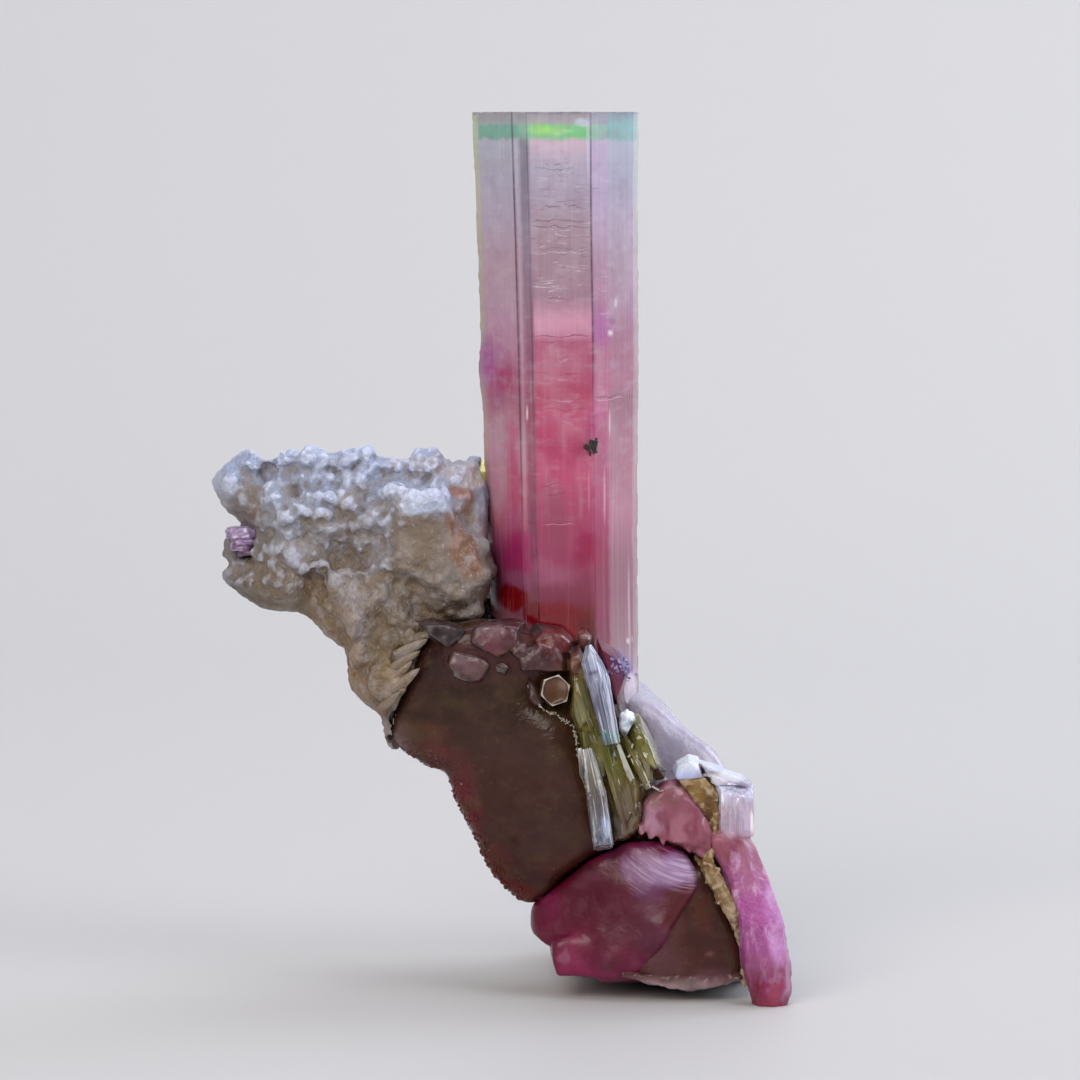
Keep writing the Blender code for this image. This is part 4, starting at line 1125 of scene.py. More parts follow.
# Albite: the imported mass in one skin, swollen into nodules above and blades below, with its feathers laid on.
core = join(cad_copy("albite_mass"), chip(ALBITE_SLAB, 1.5, -0.7, 0.8, 0.1))
for centre, radii in ALBITE_FILL:
    lump(core, centre, radii, 2)
mass = nodules(fused(core, 0.24, 3), *[(*size, grain_share(low, high)) for *size, low, high in ALBITE_GRAINS])
mass = relief(fused(mass, 0.22), (0.35, 4.0), (0.12, 0.6))
join(mass, *[feather(*shape) for shape in ALBITE_FEATHERS])
white = put("albite_growth", mass, ALBITE, "cream_albite", "albite_mass", sharp=70)
mark_hollows(white)
mark(white, "grains", ((-16, 1, 52), (13, 8, 5.5), 0.4, 1.0), ((-18, 1, 43), (11, 6, 5.0), 0.4, 0.8),
     ((-10, 1, 38), (8, 5, 3.4), 0.4, 0.6), drift=1.5)
mark(white, "earth", ((-13, 1, 36), (13, 6, 8), 0.3, 1.0), ((-3.4, 1, 46.5), (1.6, 4, 4.5), 0.3, 1.0),
     ((-15.2, 1, 46.5), (2.6, 4, 2.6), 0.5, 0.6), ((-24.8, 2, 49), (0.9, 4, 3)), drift=1.0)
# where the clean crests are painted bluish white, as lit by the cool top light
mark(white, "clean_and_lit", ((-16, 1, 52), (13, 8, 5.5), 0.4, 1.0), ((-26, 1, 42.4), (3, 5, 2.4), 0.5, 0.8),
     ((-19, 1, 44.5), (6, 5, 3.5)), ((-12.4, 0, 45), (1.2, 3, 4), 0.5, 0.8),
     ((-5, 1, 52.2), (5, 6, 1.5)), drift=1.5)
# Tan and brown below, lighter and bluer towards the top, where the cool top light is painted in; the pale
# bluish band on the tablet's top face is a painted highlight.
paint(white, (
    (24, "#9a8c8f"), (27, "#8a7770"), (29, "#7b6854"), (32, "#6c5948"), (36, "#685a4b"), (40, "#6c6159"),
    (43, "#7b726d"), (45.5, "#827f80"), (48, "#8c909c"), (50.5, "#98a1b6"), (53, "#a2adc8"), (55, "#adb9d2"),
), (
    ("#827160", (-8.2, 0, 46.2), (3.6, 3, 3.4), 0.6, 0.85),
    ("#8a5a40", (-4.6, 0, 46.4), (0.8, 3, 3.4), 0.4, 0.7),
    ("#c0c9df", (-8.2, 0, 50.1), (3.6, 2.5, 1.1), 0.4, 0.9),
    ("#7b6f68", (-26.4, 3, 48.9), (2.2, 5, 3.0), 0.4, 0.85),
    ("#aaafbf", (-28.6, 3, 50.6), (1.2, 5, 1.3), 0.5, 0.8), ("#604e45", (-25.0, 2, 47.8), (0.8, 3, 2.2)),
    ("#865c3e", (-3.3, 1, 48.9), (1.2, 4, 1.7), 0.35, 0.85),
    ("#7c553e", (-3.2, 1, 44.6), (1.0, 4, 1.2), 0.4, 0.85), ("#9e7b7f", (-2.2, 1, 46.8), (0.9, 3, 1.0)),
    ("#d2c9b8", (-2.6, 2, 51.9), (1.6, 5, 1.0)), ("#b5adad", (-6.2, 2, 52.7), (3.6, 6, 1.3), 0.4, 0.6),
    ("#58473a", (-14.9, 1, 47.8), (1.2, 3, 1.1), 0.4, 0.8),
    ("#58473a", (-16.2, 1, 46.2), (0.8, 3, 0.9), 0.4, 0.8),
    ("#7e7978", (-27.0, 3, 42.2), (1.6, 5, 1.3), 0.5, 0.8), ("#7c5e41", (-14.4, 3, 31.5), (0.9, 8, 3.0)),
    ("#493a34", (-16.6, 0, 40.8), (2.4, 3, 1.4), 0.5, 0.6),
    ("#a59fa4", (-15.6, 0, 38.4), (1.6, 3, 5.0), 0.6, 0.75),
    ("#9b938b", (-9.6, 0, 40.6), (4.0, 3, 1.4), 0.6, 0.6),
    ("#9e9ba3", (-20.6, 0, 45.0), (1.6, 3, 2.4), 0.5, 0.6),
    ("#5e4730", (-19.0, 0, 40.2), (2.4, 3, 1.0), 0.6, 0.6), ("#a0a0ab", (-12.6, 0, 46.8), (1.1, 3, 4.0)),
    ("#8d775c", (-18.6, 1, 37.6), (3.4, 4, 2.6), 0.5, 0.6), ("#887053", (-16.6, 2, 32.6), (2.2, 5, 4.6)),
    ("#8b7851", (-10.4, -0.5, 33.6), (2.2, 2, 2.6), 0.5, 0.6),
    ("#877c6d", (-23.4, 2, 41.4), (3.0, 4, 1.6), 0.5, 0.6), ("#402d28", (-7.0, 0, 37.8), (3.0, 3, 0.7)),
    ("#938688", (-11.2, 1, 25.8), (1.6, 4, 1.3), 0.4, 0.8),
    ("#36261c", (-18.6, 0, 43.2), (1.0, 3, 1.2), 0.5, 0.5), ("#a08a74", (-14.8, 0, 49.9), (1.5, 3, 1.0)),
    ("#a58f78", (-11.0, 0, 52.3), (2.0, 3, 0.8), 0.5, 0.6),
    ("#957f68", (-18.4, 0, 47.8), (1.6, 3, 1.1), 0.5, 0.6),
    ("#a08a74", (-21.6, 0, 50.6), (1.2, 3, 1.0), 0.5, 0.5),
    ("#9c6238", (-3.8, 1, 50.3), (1.3, 4, 1.0), 0.4, 0.8),
    ("#8a5a38", (-3.4, 1, 42.6), (1.2, 4, 0.9), 0.5, 0.6),
    ("#b9a79a", (-9.4, -1, 32.2), (1.6, 1.2, 1.2), 0.5, 0.6),
    ("#b5a690", (-8.4, -1, 35.2), (1.6, 1.2, 0.9), 0.5, 0.6),
), drift=1.4, wave=2.2)


# ---------------------------------------------------------------- pink crystals

BASE_CORNER = (
    (5.0, 6.0), (7.5, 6.8), (10.5, 6.0), (12.4, 2.8), (10.4, 2.2), (7.4, 2.4), (5.2, 2.2), (4.9, 4.2),
)
BASE_BREAKS = (
    ((2.8, -5, 7.6), (-0.985, 0, -0.17)), ((4.0, -5, 5.8), (-0.54, 0, -0.84)),
    ((12, -5.4, 2.1), (0, -0.17, -1)),
)
SILK_CENTRE = (19.84, -6, 22.11)  # the silk's hairs run round it

# Base tourmaline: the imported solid, broken off at its lower left, where a corner steps forward.
base = slice_off(fused(cad_copy("base_tourmaline"), 0.3, 4), *BASE_BREAKS)
join(base, chip(BASE_CORNER, -0.5, -5.2, 0.9, 0.25))
base = relief(fused(base, 0.24, 1), (0.35, 4.0), (0.05, 1.3), grow=0.2)
base = put("base_rose_mass", base, ROSE_TOURMALINE, "rose_tourmaline", "base_tourmaline", sharp=50)
mark_fibres(base, SILK_CENTRE)
mark(base, "silk_sheen", ((15.4, -7, 13.8), (3.2, 4, 1.7), 0.2, 1.0), ((18.2, -7, 12.6), (2.0, 4, 1.3), 0.3, 1.0),
     ((13.6, -6.6, 12.6), (1.3, 3, 1.6), 0.4, 0.6), drift=0.3)
paint(base, ((0, "#7a2f51"), (2.4, "#7a2951"), (5, "#6c1a43"), (8, "#681640"), (12, "#5f1339"),
             (16, "#68224a")), (
    ("#5c063a", (8.9, -5, 10.6), (2.8, 4, 2.6), 0.6, 0.9),
    ("#5e0a3c", (11.6, -6, 7.8), (2.0, 3, 2.2), 0.6, 0.9),
    ("#841358", (4.8, -4, 9.0), (1.0, 3, 1.6), 0.6, 0.6),
    ("#881d51", (7.0, -5, 5.2), (1.6, 3, 1.6), 0.6, 0.5),
    ("#6a1f43", (5.4, -4, 7.4), (1.4, 4, 2.6), 0.5, 0.6),
    # the silky band: the silk's pale lavender with its satin sheen painted in
    ("#9d81a2", (16.4, -7, 13.0), (3.4, 3, 1.5), 0.5, 0.95),
    ("#906e8d", (13.5, -6.6, 13.4), (1.5, 2, 1.8), 0.6, 0.8),
    ("#6e4c66", (14.8, -6.6, 11.2), (1.8, 2, 1.0), 0.6, 0.7),
    ("#5a3c48", (14.9, -6.4, 7.2), (1.6, 2, 3.2), 0.8, 0.8),
    ("#883a58", (7.2, -5, 2.9), (3.0, 3, 0.9), 0.5, 0.8),
    ("#8f576c", (6.1, -5, 4.4), (0.35, 2, 0.8), 0.4, 0.9),
    ("#401424", (7.0, -3.6, 13.0), (4.5, 2, 0.6), 0.5, 0.5),
    ("#5c3435", (17.6, -6.8, 9.4), (1.6, 3, 2.4), 0.5, 0.8),
    ("#50343e", (11.2, -5, 3.9), (1.8, 2, 0.9), 0.5, 0.6),
), drift=0.8, wave=1.8)

SIDE_STATIONS = (
    ((23.1, -3.7, 21.4), 2.05), ((23.1, -4.2, 18), 2.12), ((23.1, -4.3, 17.0), 2.14),
    ((22.9, -4.5, 16.6), 1.8), ((23.1, -4.6, 15.6), 1.85), ((23.6, -4.8, 14.2), 2.2),
    ((24.7, -5.5, 11), 2.45), ((25.6, -6.2, 8), 2.6), ((26.3, -6.9, 4), 2.65), ((26.6, -7.4, 1), 2.2),
    ((26.6, -7.6, -0.8), 1.6),
)
SIDE_SHOULDER = (
    (20.0, 16.6), (20.6, 17.4), (21.6, 17.2), (23.4, 16.6), (24.4, 14.6), (24.6, 11.6), (22.6, 11.4),
    (20.8, 14.0),
)
SIDE_FLANK = ((22.0, 12.0), (23.6, 13.6), (25.4, 12.2), (26.2, 7.6), (25.6, 4.4), (24.2, 5.4), (23.4, 8.4))
CAP_STATIONS = (((23.15, -3.7, 21.4), 2.1), ((23.15, -4.2, 18), 2.15), ((23.15, -4.3, 16.4), 2.1))
CAP_END = ((23.2, -4, 21.3), (0.25, -0.5, 1))
CAP_FOOT = ((23.1, -4.3, 17.0), (0, 0, 1))

# Side tourmaline: a bent prism with broken flanks, under a straight white cap with crisp ribs.
side = slice_off(crystal(SIDE_STATIONS, 7, 0.07, 0.5, seed=5, pitch=0.22, per_side=14), CAP_END)
join(side, chip(SIDE_SHOULDER, -2.6, -6.2, 0.7, 0.2), chip(SIDE_FLANK, -3.2, -7.4, 0.7, 0.2))
side = slice_off(fused(side, 0.2, 1), CAP_FOOT)
bmesh.ops.triangulate(side, faces=[face for face in side.faces if len(face.verts) > 4])
side = relief(side, (0.3, 3.0, (1, 1, 0.6)), (0.09, 0.9, (1, 1, 0.5)), (0.03, 0.4))
join(side, slice_off(crystal(CAP_STATIONS, 7, 0.09, 0.5, seed=6, pitch=0.2, per_side=12), CAP_END))
side = put("side_rose_prism", side, ROSE_TOURMALINE, "rose_tourmaline", "side_tourmaline", sharp=30)
mark(side, "ribs", ((23.2, -4, 19.2), (4, 5, 2.6), 0.2, 1.0), drift=0.2)
mark(side, "mottle", ((24.6, -6, 10), (5, 5, 5.4), 0.3, 1.0), ((26.6, -7, 3), (3, 4, 3), 0.5, 0.4), drift=0.5)
# The cap's flat top is painted bluish white, partly as lit by the cool top light.
paint(side, ((0, "#7f4052"), (2.6, "#83485c"), (3.8, "#96587b"), (6, "#a55d94"), (9, "#a9659c"),
             (12, "#a5658b"), (15, "#986376"), (16.6, "#b08a9c"), (17.4, "#c9b4c6"), (19.6, "#bfb0c2"),
             (20.6, "#d3d3ea"),
             (21.4, "#e6eaff")), (
    ("#c38dc0", (27.2, -7, 9), (1.0, 4, 4.5), 0.5, 0.8),
    ("#9c4f87", (24.8, -8, 7.6), (1.0, 3, 2.0), 0.5, 0.6),
    ("#b361a1", (24.9, -8, 9.6), (1.3, 3, 1.6), 0.4, 0.7), ("#844857", (22.6, -6, 15.4), (0.9, 2, 1.4)),
    ("#802a3d", (25.7, -8, 1.6), (0.5, 3, 2.0), 0.4, 0.7), ("#9d4860", (26.9, -8, 1.2), (1.2, 3, 1.8)),
    ("#ac7d9a", (28.2, -7, 3.6), (0.6, 4, 3.4)), ("#955662", (20.8, -5, 15.6), (1.4, 4, 1.8), 0.5, 0.8),
    ("#ab6c96", (23.0, -6, 12.6), (1.2, 4, 1.8)),
), drift=0.9, wave=1.3)

WEDGE_OUTLINE = (
    (13.9, 20.0), (14.7, 20.9), (16.0, 21.5), (17.3, 21.8), (18.4, 21.1), (19.7, 19.8), (20.9, 18.0),
    (21.5, 16.3), (21.2, 14.9), (19.8, 14.5), (18.2, 15.0), (16.9, 15.9), (15.6, 16.2), (14.6, 16.8),
    (13.5, 17.1), (13.6, 18.4),
)
WEDGE_TEETH = (  # the broken lower edge, tooth by tooth
    ((19.0, 15.6), (20.4, 15.4), (20.2, 14.2), (19.4, 14.7)),
    ((17.4, 16.2), (19.0, 16.0), (18.7, 14.9), (18.0, 15.3)),
    ((16.2, 17.0), (17.6, 16.6), (17.2, 15.8), (16.6, 16.0)),
    ((15.3, 17.2), (16.4, 16.8), (16.1, 15.5), (15.7, 15.9)),
    ((14.2, 17.6), (15.4, 17.2), (15.2, 16.5), (14.6, 16.3)),
    ((13.4, 18.0), (14.4, 17.6), (13.9, 16.6), (13.4, 16.9)),
)

# Rose wedge: a thick slab with a ragged lower edge.
wedge = chip(WEDGE_OUTLINE, -2.2, -6.1, 0.88, 0.1)
join(wedge, *[chip(outline, -4.4, -6.2, 0.8, 0.05) for outline in WEDGE_TEETH])
wedge = relief(fused(wedge, 0.13), (0.3, 2.0, (1.3, 1, 0.6)), (0.07, 0.7, (1.5, 1, 0.6)), (0.02, 0.3))
wedge = put("salmon_wedge", wedge, ROSE_TOURMALINE, "rose_tourmaline", "rose_wedge", sharp=40)
# Painted highlights along the upper and right edges, and painted shade along the lower edge.
paint(wedge, "#945e6b", (
    ("#ad8599", (14.6, -6, 18.4), (1.3, 3, 1.6), 0.5, 0.8), ("#c8b3bd", (20.3, -6, 19.2), (0.25, 3, 1.2)),
    ("#8b726b", (14.8, -6, 20.4), (0.8, 3, 0.9)), ("#80575c", (17.0, -6, 20.6), (1.4, 3, 1.0), 0.4, 0.7),
    ("#aa7583", (17.4, -6, 17.4), (1.0, 3, 1.6)), ("#7d4253", (16.0, -6, 17.6), (0.4, 3, 1.6), 0.6, 0.7),
    ("#814656", (18.8, -6, 17.6), (0.4, 3, 1.8), 0.6, 0.6),
    ("#ba949b", (17.8, -6, 21.2), (1.6, 3, 0.3), 0.6, 0.7), ("#7f4c58", (20.6, -5.6, 15.6), (1.4, 3, 1.2)),
    ("#652f3b", (17.6, -5.8, 15.4), (2.4, 3, 0.4), 0.5, 0.6),
), drift=0.9, wave=1.3)

# Rose chip, right of the upper clear prism.
ROSE_OUTLINE = (
    (9.4, 35.9), (11.2, 34.9), (12.4, 33.8), (12.7, 32.4), (12.2, 31.2), (11.5, 28.9), (10.6, 30.5),
    (9.6, 33.2),
)
rose = put("rose_chip", chip(ROSE_OUTLINE, -0.8, -3.9, 0.7), ROSE_TOURMALINE, "rose_tourmaline", "rose_shard")
paint(rose, "#6a3444", (
    ("#8f5a66", (11.3, -3, 30.4), (0.5, 3, 1.6)), ("#5a4a78", (11.4, -3, 33.4), (1.1, 3, 1.0)),
), drift=0.4, wave=0.8)

# Purple grains on the rose chip.
PURPLE_GRAINS = 260
grains = bmesh.new()
chance = random.Random(21)
for _ in range(PURPLE_GRAINS):
    x, y, z = chance.gauss(0, 0.48), chance.uniform(-0.15, 0.35), chance.gauss(0, 0.52)
    facing = any_way(chance)
    blade(grains, (11.7 + x, -3.9 + y, 33.1 + z), [chance.uniform(0.05, 0.18) for _ in range(3)], facing)
grains = put("purple_grains", grains, LAVENDER_GRAIN, "lavender_grain", sharp=20)
# a painted white sparkle in the middle of the grains
paint(grains, "#9a90c0", (("#dcd6f4", (11.9, -4, 33.3), (0.3, 2, 0.3), 0.8, 0.9),), drift=0.9, wave=0.25)


# ---------------------------------------------------------------- green and clear crystals

GREEN_BODIES = (  # outline, back, front
    (((6.6, 34.0), (8.2, 34.2), (8.9, 30.5), (10.0, 27.4), (8.6, 25.2), (7.4, 25.6), (6.4, 28.2),
      (6.8, 31.4)), -1.4, -4.6),
    (((7.3, 28.6), (10.6, 28.6), (11.9, 24.6), (10.8, 20.6), (8.9, 20.4), (7.9, 23.6), (7.3, 26.0)), -2.0,
     -5.6),
    (((9.8, 26.3), (11.6, 26.6), (13.2, 24.2), (14.6, 21.9), (14.7, 20.0), (13.7, 18.3), (12.7, 15.7),
      (11.2, 15.9),
      (10.6, 18.0), (9.8, 21.2)), -2.4, -6.0),
    (((12.6, 28.6), (13.6, 28.5), (14.4, 27.2), (15.5, 25.0), (16.4, 22.7), (16.3, 21.9), (15.6, 21.6),
      (13.9, 22.2),
      (12.6, 24.6), (12.2, 27.0)), -2.2, -5.6),
)
OLIVE_FILL = (
    (11.2, 21.0), (13.6, 21.8), (14.6, 19.8), (14.1, 17.0), (12.8, 15.4), (10.8, 15.2), (10.4, 18.0),
)
GREEN_PRISMS = (  # stations, corners, turn, squash
    ((((7.7, -3.7, 33.2), 0.5), ((8.3, -4.4, 30), 0.65), ((9.3, -5.2, 26.6), 0.5)), 5, 0.2, 0.8),
    ((((8.3, -5.2, 27.0), 0.5), ((9.2, -5.7, 23.5), 0.7), ((10.2, -6.1, 19.4), 0.4)), 6, 0.9, 0.8),
    ((((9.8, -5.4, 26.6), 0.5), ((11.3, -5.9, 21.4), 0.75), ((12.3, -6.1, 17.2), 0.3)), 5, 0.1, 0.8),
    ((((11.4, -5.4, 25.6), 0.4), ((12.6, -5.9, 22.2), 0.7), ((13.2, -5.9, 18.6), 0.3)), 5, 0.4, 0.9),
    ((((13.2, -4.9, 27.2), 0.4), ((14.2, -5.5, 24.6), 0.65), ((14.7, -5.4, 22.2), 0.3)), 5, 0.5, 0.9),
    ((((12.2, -4.6, 26.4), 0.3), ((13.3, -5.4, 24.0), 0.55), ((14.5, -5.6, 21.3), 0.35)), 6, 0.7, 0.9),
)
GREEN_SEED = 30  # of the first prism's grooves

# Olive cluster: broken bodies behind, ribbed prisms in front.
green = bmesh.new()
join(green, *[chip(*body, 0.55, 0.14) for body in GREEN_BODIES], chip(OLIVE_FILL, -2.0, -5.3, 0.7, 0.2))
for k, (stations, corners, turn, squash) in enumerate(GREEN_PRISMS):
    join(green, crystal(stations, corners, 0.14, turn, squash, seed=GREEN_SEED + k, per_side=6))
green = put("olive_cluster", green, OLIVE_TOURMALINE, "olive_tourmaline", "green_tourmaline", sharp=24)
mark_grain(green, (12.4, -6, 17), (8.2, -4.4, 31))
# The pale line on the right prism's edge is a painted highlight, and the near-black spot at its lower end is
# painted shade in a hollow.
paint(green, ((15, "#6e5644"), (18, "#796a54"), (21, "#7a6847"), (24, "#787139"), (28, "#756e37"),
              (31, "#86774f"),
              (34, "#967d4f")), (
    ("#797525", (14.2, -5, 25.8), (1.1, 3, 1.8), 0.4, 0.85),
    ("#bbb777", (15.3, -5.4, 24.8), (0.35, 2, 1.8), 0.5, 0.8), ("#959258", (8.0, -5, 28.6), (0.5, 2, 3.4)),
    ("#7d7d3d", (10.4, -6, 24.2), (0.9, 2, 1.6)), ("#34200d", (15.7, -5.6, 22.6), (0.7, 2, 0.8), 0.35, 0.95),
    ("#918764", (14.2, -5.4, 23.4), (0.4, 2, 1.2)), ("#79747d", (10.9, -6, 17.2), (0.9, 2, 1.4), 0.5, 0.6),
    ("#6e4839", (12.8, -4.5, 17.2), (1.4, 3, 2.2)), ("#7d7d5f", (8.2, -5, 30.2), (0.4, 2, 1.6), 0.5, 0.6),
), drift=0.5, wave=1.0)

# Clear prisms: the upper one with a slanted end, the lower one with a shard beside it.
UPPER_STATIONS = (((8.55, -5.4, 35.6), 1.3), ((9.6, -5.9, 31.8), 1.35), ((10.9, -6.9, 25.9), 1.0))
UPPER_BREAKS = (((8.9, -6, 35.0), (0.7, -0.15, 0.5)), ((8.1, -6, 34.0), (-0.9, -0.2, 0.35)))
upper = slice_off(crystal(UPPER_STATIONS, 6, 0.1, 0.35, 0.9, seed=8, per_side=11), *UPPER_BREAKS)
upper = put("clear_prism_above", upper, CLEAR_TOURMALINE, "clear_tourmaline", "clear_prism_upper", sharp=18)
mark_grain(upper, (10.9, -6.9, 25.9), (8.55, -5.4, 35.6))
# The small bluish white patch is a painted highlight.
paint(upper, ((25.5, "#6d775e"), (26.6, "#7b999b"), (28, "#9698ab"), (31, "#a0a1c0"), (33.4, "#c6ccea"),
              (35, "#e0e9fa")), (
    ("#e6ecff", (9.1, -7, 31.4), (0.3, 3, 1.2)), ("#6fb0b4", (9.9, -7.6, 26.9), (0.7, 3, 0.5)),
    ("#50434e", (9.0, -7, 33.0), (1.0, 3, 0.12), 0.6, 0.7),
), drift=0.15, wave=0.8)

LOWER_STATIONS = (((8.4, -6.4, 25.4), 0.6), ((9.3, -7.0, 21), 1.15), ((10.1, -7.5, 15.4), 1.15))
LOWER_BREAKS = (((10.1, -7.5, 15.7), (0.2, -0.5, -1)), ((10.1, -8.5, 18.9), (0.25, -1, -0.12)))
BESIDE_STATIONS = (((7.7, -6.0, 25.4), 0.3), ((8.2, -6.3, 23), 0.7), ((8.9, -6.9, 20.4), 0.2))
lower = slice_off(crystal(LOWER_STATIONS, 6, 0.1, 0.2, 0.9, seed=12, per_side=11), *LOWER_BREAKS)
join(lower, crystal(BESIDE_STATIONS, 5, 0.08, 0.4, 0.7, seed=13, per_side=7))
lower = put("clear_prism_below", lower, CLEAR_TOURMALINE, "clear_tourmaline", "clear_prism_lower", sharp=18)
mark_grain(lower, (10.1, -7.5, 15.4), (8.6, -6.6, 25))
# The bluish white patch on the broken end and the two thin white lines are painted highlights.
paint(lower, ((15.4, "#78757c"), (16.4, "#8d909c"), (18.5, "#8f9297"), (20.5, "#867b6a"), (23, "#8f8a7c"),
              (25, "#c0b9b0")), (
    ("#d6e6ff", (10.3, -8.4, 17.7), (0.6, 1, 1.2), 0.3, 1.0),
    ("#4a4a52", (10.0, -8.4, 16.6), (0.7, 1, 0.25), 0.5, 0.8),
    ("#dfe9f2", (8.3, -7, 23.6), (0.1, 2, 1.6), 0.5, 0.9),
    ("#e4e6e6", (9.1, -8, 17.4), (0.1, 2, 1.6), 0.5, 0.8),
), drift=0.15, wave=0.8)

# Prism seen end on: a dished six-sided end with a thin pale rim.
HEXAGON_ROWS = (  # share of the radius, and depth: the dished end, over its thin rim, to the back
    (0, -4.3), (0.25, -4.32), (0.5, -4.3), (0.7, -4.36), (0.82, -4.42), (0.87, -4.5), (0.9, -4.72),
    (0.94, -4.78), (1, -4.74), (1.02, -4.6), (1.0, -4.2), (0.98, -3.6), (0.98, -2.4), (0.9, -1.2), (0, -1.2),
)
HEXAGON_MIDDLE, HEXAGON_RADII = (5.3, 31.0), (1.5, 1.6)  # in X and Z
HEXAGON_TURN = 18  # degrees
PER_SIDE = 8  # points on each of its sides


def hexagon_place(i, j):
    """A point of the prism seen end on, which leans down and to the left as it goes back."""
    share, depth = HEXAGON_ROWS[j]
    corner, along_side = divmod(i, PER_SIDE)
    turns = [math.radians(60 * k + HEXAGON_TURN) for k in (corner, corner + 1)]
    side = along_side / PER_SIDE
    x, z = [f(turns[0]) * (1 - side) + f(turns[1]) * side for f in (math.cos, math.sin)]
    lean = (depth + 4.7) * 0.13
    return Vector((
        HEXAGON_MIDDLE[0] - lean + HEXAGON_RADII[0] * share * x,
        depth,
        HEXAGON_MIDDLE[1] - lean + HEXAGON_RADII[1] * share * z,
    ))


hexagon = skin(6 * PER_SIDE, len(HEXAGON_ROWS), hexagon_place)
hexagon = put("end_on_hexagon", hexagon, SMOKY_QUARTZ, "clear_tourmaline", "end_on_prism", sharp=25)
paint(hexagon, "#d8d0c2", (
    ("#745c52", (5.3, -4.3, 31.0), (1.3, 3, 1.38), 0.05, 1.0), ("#a3917e", (5.9, -4.4, 31.5), (0.5, 1, 0.5)),
    ("#4a3424", (4.9, -4.4, 30.8), (0.6, 1, 0.7), 0.5, 0.6),
    ("#6b5140", (5.0, -2.6, 31.0), (3.0, 1.8, 3.0), 0.2, 0.9),
), drift=0.05, wave=0.5)

# Yellow-green prism, which stands behind the albite.
TIP_STATIONS = (((-0.9, 13.4, 46), 0.95), ((-1.9, 13, 51.4), 0.9), ((-2.1, 12.9, 52.9), 0.12))
tip = crystal(TIP_STATIONS, 6, 0.05, seed=3)
tip = put("yellow_green_tip", tip, OLIVE_TOURMALINE, "olive_tourmaline", "yellow_green_prism", sharp=25)
paint(tip, ((46, "#b6b640"), (51, "#d0d648"), (53, "#f0f66a")), drift=0.3)

SPARKLE_PATH = (
    (2.6, -3.2, 31.3), (3.1, -3.6, 30.2), (3.95, -4.1, 29.05), (5.25, -4.4, 28.55), (6.2, -4.6, 28.0),
    (7.0, -4.9, 27.4), (7.35, -5.2, 26.3), (7.4, -5.6, 25.4), (7.5, -5.9, 24.6), (7.9, -6.1, 23.7),
    (8.1, -6.6, 22.2), (8.5, -7.0, 20.9),
)
SPARKLES_PER_MM = 14
GLINTS = (  # small bright faces around the right green prism
    ((12.9, -5.8, 25.6), (0.08, 0.14, 0.22), 0.2), ((12.6, -5.8, 24.6), (0.1, 0.12, 0.16), 0.8),
    ((16.2, -5.9, 22.3), (0.1, 0.12, 0.1), 0.4), ((15.2, -6.1, 21.4), (0.42, 0.1, 0.06), 0.5),
    ((14.5, -6.0, 21.9), (0.06, 0.1, 0.3), 0.6), ((15.8, -5.9, 21.1), (0.25, 0.1, 0.05), -0.2),
)
BRIGHT_END = (  # glassy end between the clear and the right green prism
    (11.7, 28.9), (12.4, 29.3), (13.0, 28.9), (13.2, 28.3), (12.8, 27.7), (12.6, 27.0), (12.3, 26.2),
    (11.9, 26.5), (11.7, 27.4), (11.4, 28.1),
)

# Sparkle chain: bright grains along the edge of the brown face, and the glints.
sparkle = bmesh.new()
for start, end in zip(SPARKLE_PATH, SPARKLE_PATH[1:]):
    start, end = Vector(start), Vector(end)
    for _ in range(round(SPARKLES_PER_MM * (end - start).length)):
        spot = start.lerp(end, chance.random()) + stray(chance, 0.08)
        turn = Matrix.Rotation(chance.uniform(0, 6), 3, stray(chance, 1).normalized())
        blade(sparkle, spot, [chance.uniform(0.02, 0.085) for _ in range(3)], turn)
for centre, sizes, lean in GLINTS:
    blade(sparkle, centre, sizes, Matrix.Rotation(lean, 3, "Y") @ Matrix.Rotation(lean * 0.6, 3, "X"))
bevel(sparkle, 0.015)
sparkle = put("sparkle_chain", sparkle, GLINT, "clear_tourmaline", sharp=20)
paint(sparkle, "#b9b4a6", (), drift=0.2)

# Bright end: a glassy lump between the clear and the green prisms, its brightness painted as glints.
bright = relief(fused(chip(BRIGHT_END, -5.1, -5.95, 0.6, 0.1), 0.09), (0.3, 0.9), (0.12, 0.35), seed=8)
bright = put("bright_end", bright, GLINT, "clear_tourmaline", sharp=12)
# the white patches are painted glints
paint(bright, "#c4ccd8", (
    ("#f6f8fc", (12.5, -6, 28.8), (0.7, 2, 0.4), 0.5, 1.0),
    ("#f0f4fa", (12.0, -6, 27.6), (0.3, 2, 0.5), 0.5, 1.0), ("#7fb4bc", (12.3, -6, 27.9), (0.3, 2, 0.3)),
    ("#6c6c50", (12.4, -6, 26.6), (0.5, 2, 0.5), 0.6, 0.8),
    ("#5c5c4c", (12.9, -6, 28.1), (0.25, 2, 0.5), 0.6, 0.7),
), drift=0.3, wave=0.4)


# ---------------------------------------------------------------- small minerals

